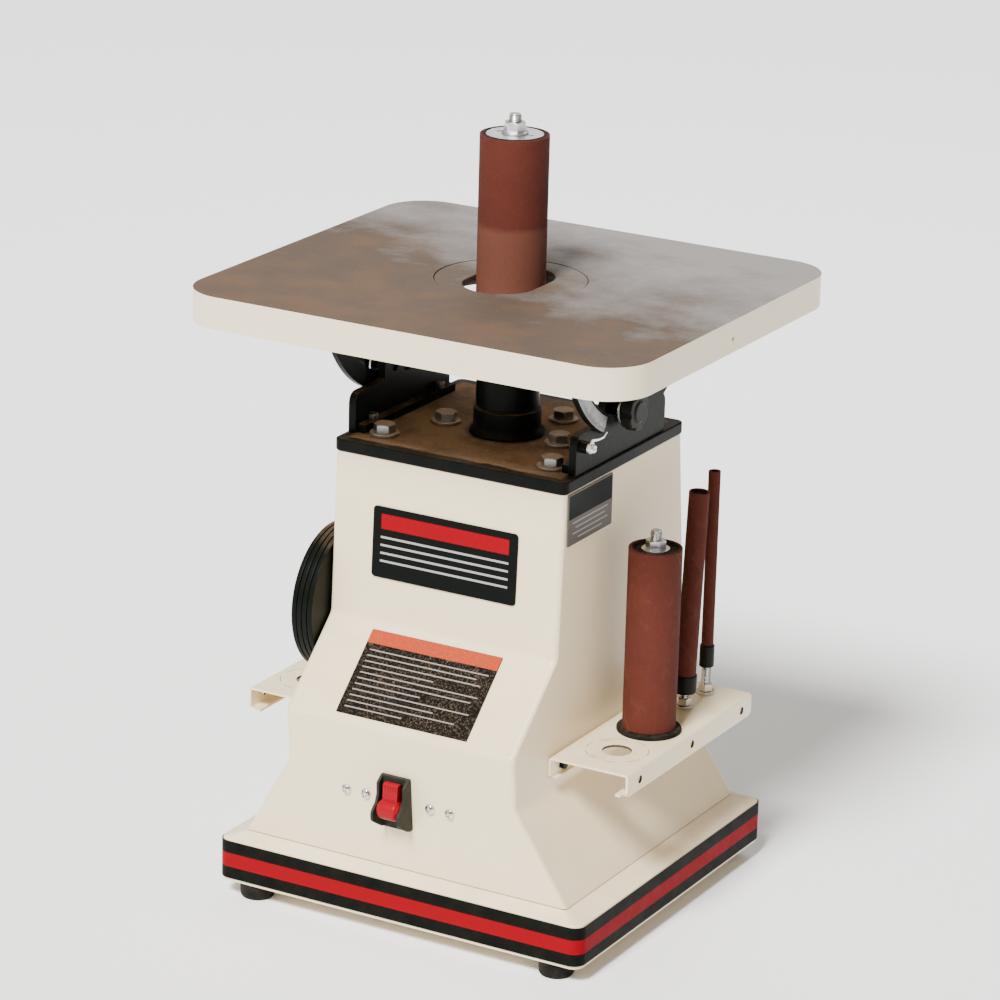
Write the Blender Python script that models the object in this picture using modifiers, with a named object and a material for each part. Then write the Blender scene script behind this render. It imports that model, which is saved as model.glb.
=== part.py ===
"""Benchtop oscillating spindle sander: a tilting table over a vertical sanding drum that turns and strokes.

Metres, +Z up. The spindle axis is the world Z axis and the bench is z = 0. The user stands at -Y.
"""
import bpy
import bmesh
import math
from mathutils import Matrix, Vector

NAME = "spindle_sander"
MM = 0.001
GAP = 0.3 * MM                      # between pieces that touch

# Table: a cast plate with a deep rim, tilting about X through its top surface over the spindle
TABLE_W, TABLE_D, TABLE_T = 368 * MM, 330 * MM, 24 * MM
TABLE_CORNER = 36 * MM
TABLE_WEB, TABLE_RIM = 10 * MM, 8 * MM
TABLE_Z = 468 * MM                  # top surface, and height of the tilt axis
INSERT_R, INSERT_T = 56 * MM, 5 * MM
THROAT_R = 50 * MM
SLOT_HALF_W = 27.5 * MM
SLOT_FRONT, SLOT_REAR = -43.5 * MM, 37.5 * MM

# Base tray and feet
BASE_W, BASE_D, BASE_Y = 307 * MM, 291 * MM, -3.5 * MM
FOOT_H, FOOT_R = 12 * MM, 13.5 * MM
FOOT_X, FOOT_INSET_Y = 128 * MM, 14.5 * MM
BAND_CORNER = 9 * MM
TRAY_Z = FOOT_H + GAP
BAND_Z = 46 * MM                    # top of the vertical band
TRAY_SHEET = 2.5 * MM
TRAY_LIP = 3 * MM                   # painted strip left below the tape
TAPE_T = 0.6 * MM

# Cabinet: half width, front y, rear y at each height, bottom to top
SEAM_Z = 53 * MM
FLARE_Z = 121 * MM
SLOPE_LOW_Z, SLOPE_HIGH_Z = 162 * MM, 218.5 * MM
CABINET_TOP_Z = 342.5 * MM
SEAM_HALF_W, BOX_HALF_W = 136 * MM, 95.7 * MM
SEAM_FRONT_Y, SLOPE_LOW_Y, SLOPE_HIGH_Y, TOP_FRONT_Y = -138 * MM, -149.3 * MM, -90 * MM, -84.6 * MM
SEAM_REAR_Y, TOP_REAR_Y = 127 * MM, 96 * MM
CABINET_SHEET = 2 * MM
CABINET_BEND = 4 * MM

# Top plate and the spindle housing on it
PLATE_T, PLATE_LIP = 9.2 * MM, 1.3 * MM
PLATE_Z = CABINET_TOP_Z + GAP
PLATE_TOP = PLATE_Z + PLATE_T
HOUSING_TOP = 420 * MM
QUILL_R = 16 * MM
PLATE_BOLTS = ((70 * MM, -58 * MM), (48 * MM, -7 * MM), (22 * MM, 46 * MM))

# Trunnions, brackets and lock knobs (right side; the left one is its mirror)
BRACKET_X, BRACKET_T = 89 * MM, 6 * MM
BRACKET_HALF_L, BRACKET_H = 68 * MM, 30 * MM
TRUNNION_X, TRUNNION_T, TRUNNION_R = 97.5 * MM, 4 * MM, 98 * MM
LOCK_R, LOCK_ANGLE = 79 * MM, math.radians(-9.5)
KNOB_R, KNOB_T = 14 * MM, 12 * MM
SCALE_FROM, SCALE_TO = math.radians(25), math.radians(70)
POINTER_Y, POINTER_Z = -61 * MM, 373 * MM

# Spindle, drum and quill
DRUM_R, SLEEVE_T, DRUM_L = 25.4 * MM, 2.7 * MM, 139.7 * MM
DRUM_TOP = 576 * MM
DRUM_BOTTOM = DRUM_TOP - DRUM_L
SPINDLE_R, STUD_R = 6.2 * MM, 4.7 * MM
SPINDLE_BOTTOM, STUD_TOP = 130 * MM, 591 * MM
QUILL_BOTTOM, QUILL_TOP = 294 * MM, 402 * MM
QUILL_BORE = 12.3 * MM

# Oscillation drive: worm on the hollow rotor, wheel, eccentric pin and link
TOOTH_PITCH_M = 2 * MM              # module
WHEEL_TEETH = 24
WHEEL_R = TOOTH_PITCH_M * WHEEL_TEETH / 2
WORM_R = 10 * MM
WHEEL_X = -(WHEEL_R + WORM_R)
WHEEL_Z = 270 * MM
WHEEL_HALF_T = 4 * MM
CRANK_R = 12.7 * MM
LINK_L = 48 * MM
LINK_Y0, LINK_Y1 = 8.5 * MM, 12.5 * MM
ROTOR_BORE, ROTOR_R = 6.6 * MM, 8.2 * MM
ROTOR_BOTTOM, ROTOR_TOP = 102 * MM, 288 * MM
GEAR_CASE_Z = 238 * MM

# Motor
MOTOR_R, MOTOR_WALL = 64 * MM, 4 * MM
MOTOR_TOP, MOTOR_BOTTOM = GEAR_CASE_Z - GAP, 96 * MM
STATOR_Z0, STATOR_Z1 = 128 * MM, 198 * MM
ROTOR_CORE_R = 35.4 * MM

# Storage shelves and what stands on them
SHELF_Z, SHELF_DROP, SHELF_LIP, SHELF_SHEET = 147.5 * MM, 18 * MM, 10 * MM, 1.8 * MM
SHELF_X0, SHELF_X1 = BOX_HALF_W + GAP, 161 * MM
SHELF_Y0, SHELF_Y1 = -97 * MM, 100 * MM
STORE_X = 131 * MM
STORE_HOLE_R = 11 * MM
EMPTY_HOLE_Y, DRUM2_Y, TUBE_Y, SMALL_TUBE_Y = -58 * MM, -9 * MM, 46 * MM, 82 * MM
DRUM2_R, TUBE_R, SMALL_TUBE_R = 19.8 * MM, 7.7 * MM, 4.6 * MM
TUBE_LEAN = math.radians(2)         # the loose tube leans outwards in its hole
SPARE_Y, SPARE_Z = -57 * MM, 220 * MM
SPARE_COUNT, SPARE_T = 4, 4.5 * MM

# Front switch
SWITCH_X, SWITCH_Z = -2 * MM, 107 * MM
SWITCH_W, SWITCH_H = 24 * MM, 42 * MM
# One guard cheek seen from the side: how far it stands off the panel, and its height
CHEEK = ((1 * MM, 21 * MM), (2.5 * MM, 21 * MM), (9 * MM, 17 * MM), (9.7 * MM, 8.6 * MM),
         (12.6 * MM, 2.6 * MM), (17 * MM, -1 * MM), (18.9 * MM, -4.5 * MM), (18.5 * MM, -8 * MM),
         (16 * MM, -11.4 * MM), (7.8 * MM, -17.9 * MM), (1 * MM, -20.5 * MM))
PADDLE_BULB_R = 7.5 * MM
PANEL_SCREWS_X = (-45.7 * MM, -29.2 * MM, 25.2 * MM, 41.7 * MM)
PANEL_SCREW_Z = 107 * MM

# Rear wall
COVER_SIZE, COVER_Z = 154 * MM, 150 * MM
PORT_Z = 275 * MM
INLET_X, INLET_Z = 89 * MM, 78 * MM

CREAM = (0.80, 0.75, 0.66, 1)
BLACK = (0.012, 0.013, 0.012, 1)
IRON = (0.33, 0.32, 0.30, 1)
STEEL = (0.62, 0.62, 0.62, 1)
ABRASIVE = (0.17, 0.040, 0.022, 1)
RUBBER = (0.02, 0.02, 0.02, 1)
RED = (0.65, 0.010, 0.020, 1)
BRONZE = (0.55, 0.35, 0.12, 1)

for item in list(bpy.data.objects):
    bpy.data.objects.remove(item)

parts = bpy.data.collections.new(NAME)
cutters = bpy.data.collections.new("cutters")
for collection in (parts, cutters):
    bpy.context.scene.collection.children.link(collection)


# ---------------------------------------------------------------- helpers
def material(name, colour, roughness, metallic):
    mat = bpy.data.materials.new(name)
    mat.use_nodes = True
    shader = mat.node_tree.nodes["Principled BSDF"]
    shader.inputs["Base Color"].default_value = colour
    shader.inputs["Roughness"].default_value = roughness
    shader.inputs["Metallic"].default_value = metallic
    return mat


def pivot(name, location, parent=None):
    """An empty on a joint's axis, which carries the pieces that move together."""
    empty = bpy.data.objects.new(name, None)
    empty.location = Vector(location) - (parent.matrix_basis.translation if parent else Vector())
    empty.parent = parent
    parts.objects.link(empty)
    return empty


def world_origin(empty):
    place = Vector()
    while empty:
        place += empty.location
        empty = empty.parent
    return place


def add(name, mesh, group=None, colour=CREAM, roughness=0.5, metallic=0.0, smooth=35):
    """Links a mesh made in world coordinates as a part, with its origin at its group's pivot."""
    origin = world_origin(group)
    mesh.transform(Matrix.Translation(-origin))
    obj = bpy.data.objects.new(name, mesh)
    obj.parent = group
    mesh.materials.append(material(name + "_finish", colour, roughness, metallic))
    parts.objects.link(obj)
    if smooth:
        mesh.shade_smooth()
        mesh.set_sharp_from_angle(angle=math.radians(smooth))
    return obj


def finish_bmesh(bm, name):
    mesh = bpy.data.meshes.new(name)
    bm.to_mesh(mesh)
    bm.free()
    return mesh


def box_mesh(name, size, centre, edge=0.0, segments=2, upright=0.0, upright_segments=5):
    """A box; `upright` rounds its four vertical edges and `edge` rounds all the others."""
    bm = bmesh.new()
    bmesh.ops.create_cube(bm, size=1)
    bmesh.ops.scale(bm, vec=size, verts=bm.verts)
    if upright:
        sides = [e for e in bm.edges if abs(e.verts[0].co.z - e.verts[1].co.z) > size[2] / 2]
        bmesh.ops.bevel(bm, geom=sides, offset=upright, segments=upright_segments, profile=0.5,
                        affect="EDGES")
    if edge:
        rims = [e for e in bm.edges if not upright or abs(e.verts[0].co.z - e.verts[1].co.z) < 1e-7]
        bmesh.ops.bevel(bm, geom=rims, offset=edge, segments=segments, profile=0.5, affect="EDGES")
    bmesh.ops.translate(bm, vec=centre, verts=bm.verts)
    return finish_bmesh(bm, name)


ALONG = {"X": Matrix.Rotation(math.radians(90), 4, "Y"), "Y": Matrix.Rotation(math.radians(-90), 4, "X"),
         "Z": Matrix.Identity(4)}


def rod_mesh(name, radius, start, end, centre=(0, 0, 0), axis="Z", sides=24):
    """A cylinder from `start` to `end` along an axis through `centre`."""
    bm = bmesh.new()
    bmesh.ops.create_cone(bm, cap_ends=True, segments=sides, radius1=radius, radius2=radius,
                          depth=end - start)
    bmesh.ops.translate(bm, vec=(0, 0, (start + end) / 2), verts=bm.verts)
    bmesh.ops.transform(bm, matrix=Matrix.Translation(centre) @ ALONG[axis], verts=bm.verts)
    return finish_bmesh(bm, name)


def turned_mesh(name, profile, closed=False, centre=(0, 0, 0), axis="Z", steps=32):
    """A profile of (radius, height) points, listed top to bottom on the outside, turned about an axis."""
    mesh = bpy.data.meshes.new(name)
    edges = [(i, i + 1) for i in range(len(profile) - 1)]
    if closed:
        edges.append((len(profile) - 1, 0))
    mesh.from_pydata([(r, 0, z) for r, z in profile], edges, [])
    source = bpy.data.objects.new(name + "_profile", mesh)
    parts.objects.link(source)
    screw = source.modifiers.new("turn", "SCREW")
    screw.steps = screw.render_steps = steps
    screw.use_merge_vertices = True
    screw.merge_threshold = 0.00001
    bpy.context.view_layer.update()
    result = bpy.data.meshes.new_from_object(source.evaluated_get(bpy.context.evaluated_depsgraph_get()))
    bpy.data.objects.remove(source)
    result.transform(Matrix.Translation(centre) @ ALONG[axis])
    result.name = name
    return result


def ring_mesh(name, inner, outer, start, end, **place):
    """A plain ring or tube."""
    profile = [(inner, end), (outer, end), (outer, start), (inner, start)]
    return turned_mesh(name, profile, closed=True, **place)


def cutter(mesh):
    obj = bpy.data.objects.new("cut_" + mesh.name, mesh)
    obj.display_type = "WIRE"
    obj.hide_render = True
    cutters.objects.link(obj)
    return obj


def combine(obj, mesh, operation="DIFFERENCE"):
    """Cuts a mesh made in world coordinates out of a part, or joins it on."""
    tool = cutter(mesh)
    tool.parent = obj.parent
    mesh.transform(Matrix.Translation(-world_origin(obj.parent)))
    boolean = obj.modifiers.new(tool.name, "BOOLEAN")
    boolean.operation = operation
    boolean.object = tool
    boolean.solver = "EXACT"


def mirrored(mesh):
    """A copy mirrored to the other side of the YZ plane."""
    copy = mesh.copy()
    bm = bmesh.new()
    bm.from_mesh(copy)
    bmesh.ops.scale(bm, vec=(-1, 1, 1), verts=bm.verts)
    bmesh.ops.reverse_faces(bm, faces=bm.faces)
    bm.to_mesh(copy)
    bm.free()
    return copy


def rounded_section(half_w, front, rear, z, corner, steps=3):
    """Points round a rectangle with rounded corners, anticlockwise seen from above."""
    points = []
    corners = ((half_w, rear, 0), (-half_w, rear, 90), (-half_w, front, 180), (half_w, front, 270))
    for x, y, start in corners:
        cx = x - math.copysign(corner, x)
        cy = y - corner if y == rear else y + corner
        for i in range(steps + 1):
            angle = math.radians(start + 90 * i / steps)
            points.append((cx + corner * math.cos(angle), cy + corner * math.sin(angle), z))
    return points


def thickened(bm, name, thickness):
    """Turns an open surface into sheet metal, thickened away from the side that its faces show."""
    source = bpy.data.objects.new(name + "_surface", finish_bmesh(bm, name))
    parts.objects.link(source)
    solid = source.modifiers.new("sheet", "SOLIDIFY")
    solid.thickness = thickness
    solid.offset = -1
    solid.use_even_offset = True
    bpy.context.view_layer.update()
    result = bpy.data.meshes.new_from_object(source.evaluated_get(bpy.context.evaluated_depsgraph_get()))
    bpy.data.objects.remove(source)
    result.name = name
    return result


def sheet_mesh(name, sections, thickness, floor=False):
    """Sheet metal folded through the given sections, bottom to top, thickened inwards."""
    bm = bmesh.new()
    rings = [[bm.verts.new(p) for p in section] for section in sections]
    for low, high in zip(rings, rings[1:]):
        for i in range(len(low)):
            j = (i + 1) % len(low)
            bm.faces.new((low[i], low[j], high[j], high[i]))
    if floor:
        bm.faces.new(list(reversed(rings[0])))
    return thickened(bm, name, thickness)


def outline_mesh(name, points, start, end, turn=Matrix.Identity(4)):
    """A flat closed outline of (x, y) points, extruded from `start` to `end` and then turned into place."""
    curve = bpy.data.curves.new(name, "CURVE")
    curve.dimensions = "2D"
    curve.fill_mode = "BOTH"
    curve.extrude = (end - start) / 2
    spline = curve.splines.new("POLY")
    spline.points.add(len(points) - 1)
    for point, (x, y) in zip(spline.points, points):
        point.co = (x, y, 0, 1)
    spline.use_cyclic_u = True
    source = bpy.data.objects.new(name + "_outline", curve)
    parts.objects.link(source)
    bpy.context.view_layer.update()
    mesh = bpy.data.meshes.new_from_object(source.evaluated_get(bpy.context.evaluated_depsgraph_get()))
    bpy.data.objects.remove(source)
    bm = bmesh.new()
    bm.from_mesh(mesh)
    bmesh.ops.remove_doubles(bm, verts=bm.verts, dist=0.000001)
    bmesh.ops.recalc_face_normals(bm, faces=bm.faces)
    bmesh.ops.translate(bm, vec=(0, 0, (start + end) / 2), verts=bm.verts)
    bmesh.ops.transform(bm, matrix=turn, verts=bm.verts)
    bm.to_mesh(mesh)
    bm.free()
    mesh.name = name
    return mesh


def arc(cx, cy, radius, start, end, steps):
    """Points on an arc, angles in radians."""
    turn = (end - start) / steps
    return [(cx + radius * math.cos(start + turn * i), cy + radius * math.sin(start + turn * i))
            for i in range(steps + 1)]


# A flat outline's (x, y) becomes the world's (y, z), and its extrusion runs along X
SIDEWAYS = Matrix(((0, 0, 1, 0), (1, 0, 0, 0), (0, 1, 0, 0), (0, 0, 0, 1)))
# A flat outline's (x, y) becomes the world's (x, z), and its extrusion runs along Y
FACING_REAR = Matrix(((1, 0, 0, 0), (0, 0, 1, 0), (0, 1, 0, 0), (0, 0, 0, 1)))


def rear_y(z):
    """Outer face of the sloping rear wall."""
    return SEAM_REAR_Y + (TOP_REAR_Y - SEAM_REAR_Y) * (z - SEAM_Z) / (CABINET_TOP_Z - SEAM_Z)


def lower_front_y(z):
    """Outer face of the lower front panel, which leans in towards the base."""
    return SEAM_FRONT_Y + (SLOPE_LOW_Y - SEAM_FRONT_Y) * (z - SEAM_Z) / (SLOPE_LOW_Z - SEAM_Z)


def upper_front_y(z):
    return SLOPE_HIGH_Y + (TOP_FRONT_Y - SLOPE_HIGH_Y) * (z - SLOPE_HIGH_Z) / (CABINET_TOP_Z - SLOPE_HIGH_Z)


LOWER_TILT = math.atan2(SEAM_FRONT_Y - SLOPE_LOW_Y, SLOPE_LOW_Z - SEAM_Z)
UPPER_TILT = -math.atan2(TOP_FRONT_Y - SLOPE_HIGH_Y, CABINET_TOP_Z - SLOPE_HIGH_Z)
SLOPE_TILT = -math.atan2(SLOPE_HIGH_Y - SLOPE_LOW_Y, SLOPE_HIGH_Z - SLOPE_LOW_Z)
REAR_TILT = math.atan2(SEAM_REAR_Y - TOP_REAR_Y, CABINET_TOP_Z - SEAM_Z)


def tilted(point, tilt):
    """Places a piece made at the origin on a panel that leans by `tilt` about X."""
    return Matrix.Translation(point) @ Matrix.Rotation(tilt, 4, "X")


# ---------------------------------------------------------------- fixed structure
def build_base():
    front, rear = BASE_Y - BASE_D / 2, BASE_Y + BASE_D / 2
    sections = [rounded_section(BASE_W / 2, front, rear, TRAY_Z, BAND_CORNER),
                rounded_section(BASE_W / 2, front, rear, BAND_Z, BAND_CORNER),
                rounded_section(SEAM_HALF_W, SEAM_FRONT_Y, SEAM_REAR_Y, SEAM_Z, 2 * MM)]
    add("base_tray", sheet_mesh("base_tray", sections, TRAY_SHEET, floor=True), colour=CREAM, roughness=0.35)
    outer = GAP + TAPE_T
    band = [rounded_section(BASE_W / 2 + outer, front - outer, rear + outer, z, BAND_CORNER + outer)
            for z in (TRAY_Z + TRAY_LIP, BAND_Z - GAP)]
    add("stripe_band", sheet_mesh("stripe_band", band, TAPE_T), colour=RED, roughness=0.3)
    for end, y in (("front", front + FOOT_INSET_Y), ("rear", rear - FOOT_INSET_Y)):
        for side, x in (("left", -FOOT_X), ("right", FOOT_X)):
            name = f"foot_{end}_{side}"
            profile = [(0, FOOT_H), (FOOT_R, FOOT_H), (FOOT_R - 1.5 * MM, 1.2 * MM), (FOOT_R - 3 * MM, 0),
                       (0, 0)]
            add(name, turned_mesh(name, profile, centre=(x, y, 0), steps=20), colour=RUBBER, roughness=0.8)


def build_cabinet():
    sections = [rounded_section(SEAM_HALF_W, SEAM_FRONT_Y, SEAM_REAR_Y, SEAM_Z + GAP, CABINET_BEND),
                rounded_section(BOX_HALF_W, lower_front_y(FLARE_Z), rear_y(FLARE_Z), FLARE_Z, CABINET_BEND),
                rounded_section(BOX_HALF_W, SLOPE_LOW_Y, rear_y(SLOPE_LOW_Z), SLOPE_LOW_Z, CABINET_BEND),
                rounded_section(BOX_HALF_W, SLOPE_HIGH_Y, rear_y(SLOPE_HIGH_Z), SLOPE_HIGH_Z, CABINET_BEND),
                rounded_section(BOX_HALF_W, TOP_FRONT_Y, TOP_REAR_Y, CABINET_TOP_Z, CABINET_BEND)]
    shell = add("cabinet_shell", sheet_mesh("cabinet_shell", sections, CABINET_SHEET), colour=CREAM,
                roughness=0.35)
    combine(shell, box_mesh("service_opening", (130 * MM, 40 * MM, 130 * MM), (0, rear_y(COVER_Z), COVER_Z)))
    combine(shell, rod_mesh("dust_opening", 28 * MM, -30 * MM, 30 * MM, (0, rear_y(PORT_Z), PORT_Z), "Y"))
    combine(shell, box_mesh("switch_opening", (20 * MM, 30 * MM, 34 * MM),
                            (SWITCH_X, lower_front_y(SWITCH_Z), SWITCH_Z)))
    combine(shell, rod_mesh("inlet_opening", 6 * MM, -20 * MM, 20 * MM, (INLET_X, rear_y(INLET_Z), INLET_Z),
                            "Y", sides=16))

    stand_off = GAP + 1 * MM
    place = tilted((0, rear_y(COVER_Z) + stand_off, COVER_Z), REAR_TILT)
    sheet = box_mesh("rear_panel", (COVER_SIZE, 2 * MM, COVER_SIZE), (0, 0, 0))
    cover = add("rear_panel", sheet, colour=CREAM, roughness=0.35, smooth=0)
    cover.data.transform(place)
    for i in range(6):
        z = 105 * MM + 18 * MM * i
        combine(cover, box_mesh(f"vent_{i}", (100 * MM, 20 * MM, 6 * MM), (0, rear_y(z), z)))


def build_top_plate():
    size = (2 * (BOX_HALF_W + PLATE_LIP), TOP_REAR_Y - TOP_FRONT_Y + 2 * PLATE_LIP, PLATE_T)
    centre = (0, (TOP_REAR_Y + TOP_FRONT_Y) / 2, PLATE_Z + PLATE_T / 2)
    plate = add("top_plate", box_mesh("top_plate", size, centre, edge=2 * MM, upright=6 * MM), colour=BLACK,
                roughness=0.4)
    combine(plate, rod_mesh("quill_way", QUILL_R + 1 * MM, -20 * MM, 20 * MM, (0, 0, PLATE_Z), sides=32))
    for i, (x, y) in enumerate(PLATE_BOLTS):
        name = f"plate_bolt_{i + 1}"
        washer_top = PLATE_TOP + GAP + 2 * MM
        bolt = add(name, rod_mesh(name, 11 * MM, PLATE_TOP + GAP, washer_top, (x, y, 0), sides=20),
                   colour=STEEL, roughness=0.35, metallic=1.0)
        head = rod_mesh(name + "_head", 8.5 * MM, washer_top - 0.5 * MM, washer_top + 6.5 * MM, (x, y, 0),
                        sides=6)
        combine(bolt, head, "UNION")

    lower, upper, bore = 25 * MM, 23.5 * MM, QUILL_R + 0.5 * MM
    seam = PLATE_TOP + 20 * MM
    profile = [(bore, HOUSING_TOP), (upper - 2 * MM, HOUSING_TOP), (upper, HOUSING_TOP - 2 * MM),
               (upper, seam + 1 * MM), (upper - 1 * MM, seam), (lower, seam - 1 * MM),
               (lower, PLATE_TOP + 4 * MM), (lower + 3 * MM, PLATE_TOP + GAP), (bore, PLATE_TOP + GAP)]
    add("spindle_housing", turned_mesh("spindle_housing", profile, closed=True, steps=24), colour=BLACK,
        roughness=0.45)


def bracket_mesh():
    """Upright cheek on the plate's edge, with a boss for the lock stud and one for the pointer's screw."""
    low, high, corner = PLATE_TOP + GAP, PLATE_TOP + GAP + BRACKET_H, 8 * MM
    stud_y, stud_z = LOCK_R * math.sin(LOCK_ANGLE), TABLE_Z - LOCK_R * math.cos(LOCK_ANGLE)
    boss = 14 * MM
    half = BRACKET_HALF_L
    points = [(-half, low), (half, low)]
    points += arc(half - corner, high - corner, corner, 0, math.pi / 2, 4)
    points += [(stud_y + boss, high)] + arc(stud_y, stud_z, boss, 0, math.pi, 12) + [(stud_y - boss, high)]
    points += arc(-half + corner, high - corner, corner, math.pi / 2, math.pi, 4)
    return outline_mesh("bracket", points, BRACKET_X, BRACKET_X + BRACKET_T, SIDEWAYS)


def build_brackets():
    stud = (0, LOCK_R * math.sin(LOCK_ANGLE), TABLE_Z - LOCK_R * math.cos(LOCK_ANGLE))
    for side, flip in (("right", False), ("left", True)):
        mesh = mirrored(bracket_mesh()) if flip else bracket_mesh()
        bracket = add("bracket_" + side, mesh, colour=BLACK, roughness=0.45)
        sign = -1 if flip else 1
        ends = sorted((sign * 70 * MM, sign * 110 * MM))
        combine(bracket, rod_mesh("stud_hole_" + side, 4.5 * MM, ends[0], ends[1], stud, "X", sides=20))

    boss = (0, POINTER_Y, POINTER_Z)
    boss_end = 101 * MM
    combine(bpy.data.objects["bracket_right"],
            rod_mesh("pointer_boss", 4.5 * MM, BRACKET_X + BRACKET_T - 1 * MM, boss_end, boss, "X", sides=16),
            "UNION")
    hook = [(-3.5 * MM, -3.5 * MM), (3.5 * MM, -3.5 * MM), (3.5 * MM, 2 * MM), (2 * MM, 4 * MM),
            (16 * MM, 3 * MM), (22 * MM, 6 * MM), (21 * MM, 7.4 * MM), (15 * MM, 5 * MM), (1 * MM, 7 * MM),
            (-3.5 * MM, 5 * MM)]
    points = [(y + boss[1], z + boss[2]) for y, z in hook]
    pointer_start = boss_end + 2.4 * MM
    sheet = outline_mesh("scale_pointer", points, pointer_start, pointer_start + 1 * MM, SIDEWAYS)
    pointer = add("scale_pointer", sheet, colour=STEEL, roughness=0.25, metallic=1.0)
    combine(pointer, rod_mesh("pointer_screw", 3.6 * MM, boss_end + GAP, pointer_start + 3 * MM, boss, "X",
                              sides=12), "UNION")


# ---------------------------------------------------------------- table and its tilt
def table_slab(name, inset, z0, z1, corner, edge=0.0):
    size = (TABLE_W - 2 * inset, TABLE_D - 2 * inset, z1 - z0)
    return box_mesh(name, size, (0, 0, (z0 + z1) / 2), edge=edge, upright=corner, upright_segments=6)


def build_table():
    tilt = pivot("table_tilt_axis", (0, 0, TABLE_Z))
    slab = table_slab("table_top", 0, TABLE_Z - TABLE_T, TABLE_Z, TABLE_CORNER, 1.2 * MM)
    table = add("table_top", slab, tilt, colour=IRON, roughness=0.35, metallic=0.9)
    combine(table, table_slab("underside", TABLE_RIM, TABLE_Z - TABLE_T - 5 * MM, TABLE_Z - TABLE_WEB,
                              TABLE_CORNER - TABLE_RIM))
    combine(table, rod_mesh("throat", THROAT_R, TABLE_Z - 20 * MM, TABLE_Z + 5 * MM, sides=32))
    seat = TABLE_Z - INSERT_T - 2 * GAP
    combine(table, rod_mesh("seat", INSERT_R + GAP, seat, TABLE_Z + 5 * MM, sides=32))

    disc = rod_mesh("table_insert", INSERT_R, seat + GAP, seat + GAP + INSERT_T, sides=32)
    insert = add("table_insert", disc, tilt, colour=IRON, roughness=0.4, metallic=0.9)
    r = SLOT_HALF_W
    slot = arc(0, SLOT_REAR - r, r, 0, math.pi, 10) + arc(0, SLOT_FRONT + r, r, math.pi, 2 * math.pi, 10)
    combine(insert, outline_mesh("slot", slot, TABLE_Z - 20 * MM, TABLE_Z + 10 * MM))
    build_trunnions(tilt)


def trunnion_mesh():
    """Half-moon hung under the table, centred on the tilt axis, with the arc slot for the lock stud."""
    top = -TABLE_WEB - GAP
    start = math.asin(top / TRUNNION_R)
    rim = arc(0, TABLE_Z, TRUNNION_R, math.pi - start, 2 * math.pi + start, 30)
    return outline_mesh("trunnion", rim, TRUNNION_X, TRUNNION_X + TRUNNION_T, SIDEWAYS)


def arc_band(name, inner, outer, start, end, x0, x1, steps=12):
    """A flat sector about the tilt axis; angles run from straight down towards the front."""
    down = -math.pi / 2
    points = arc(0, TABLE_Z, inner, down - start, down - end, steps)
    points += arc(0, TABLE_Z, outer, down - end, down - start, steps)
    return outline_mesh(name, points, x0, x1, SIDEWAYS)


def build_trunnions(tilt):
    clear = 4.5 * MM
    slot_from, slot_to = -LOCK_ANGLE - math.radians(5), -LOCK_ANGLE + math.radians(50)
    for side, flip in (("right", False), ("left", True)):
        pieces = [trunnion_mesh(),
                  arc_band("arc_slot", LOCK_R - clear, LOCK_R + clear, slot_from, slot_to, 90 * MM, 110 * MM),
                  box_mesh("flange", (16 * MM, 120 * MM, 8 * MM),
                           (TRUNNION_X - 7.5 * MM, 0, TABLE_Z - TABLE_WEB - GAP - 4 * MM))]
        if flip:
            pieces = [mirrored(piece) for piece in pieces]
        trunnion = add("trunnion_" + side, pieces[0], tilt, colour=BLACK, roughness=0.4)
        combine(trunnion, pieces[1])
        combine(trunnion, pieces[2], "UNION")
    face = TRUNNION_X + TRUNNION_T + GAP
    scale = arc_band("degree_scale", 86 * MM, 97.5 * MM, SCALE_FROM, SCALE_TO, face, face + 0.8 * MM)
    add("degree_scale", scale, tilt, colour=STEEL, roughness=0.3, metallic=1.0)


def knob_mesh(sign):
    """Fluted knob with its stud, turned about X; the stud passes through trunnion and bracket."""
    stud_end, hub = BRACKET_X + 2 * MM, TRUNNION_X + TRUNNION_T + 3.5 * MM
    face = hub + KNOB_T
    profile = [(0, face), (KNOB_R - 5 * MM, face), (KNOB_R - 1 * MM, face - 1.5 * MM),
               (KNOB_R, face - 4 * MM), (KNOB_R, hub + 4 * MM), (KNOB_R - 4 * MM, hub + 1 * MM),
               (4 * MM, hub), (4 * MM, stud_end), (0, stud_end)]
    mesh = turned_mesh("knob", profile, axis="X", steps=18)
    return mirrored(mesh) if sign < 0 else mesh


def build_lock_knobs():
    y, z = LOCK_R * math.sin(LOCK_ANGLE), TABLE_Z - LOCK_R * math.cos(LOCK_ANGLE)
    for side, sign in (("right", 1), ("left", -1)):
        axis = pivot(f"lock_knob_{side}_axis", (0, y, z))
        mesh = knob_mesh(sign)
        mesh.transform(Matrix.Translation((0, y, z)))
        knob = add("lock_knob_" + side, mesh, axis, colour=BLACK, roughness=0.35)
        ends = sorted((sign * 104 * MM, sign * 130 * MM))
        for i in range(6):
            angle = math.radians(60 * i + 30)
            place = (0, y + (KNOB_R + 3 * MM) * math.cos(angle), z + (KNOB_R + 3 * MM) * math.sin(angle))
            combine(knob, rod_mesh(f"flute_{side}_{i}", 6 * MM, ends[0], ends[1], place, "X", sides=8))


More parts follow.
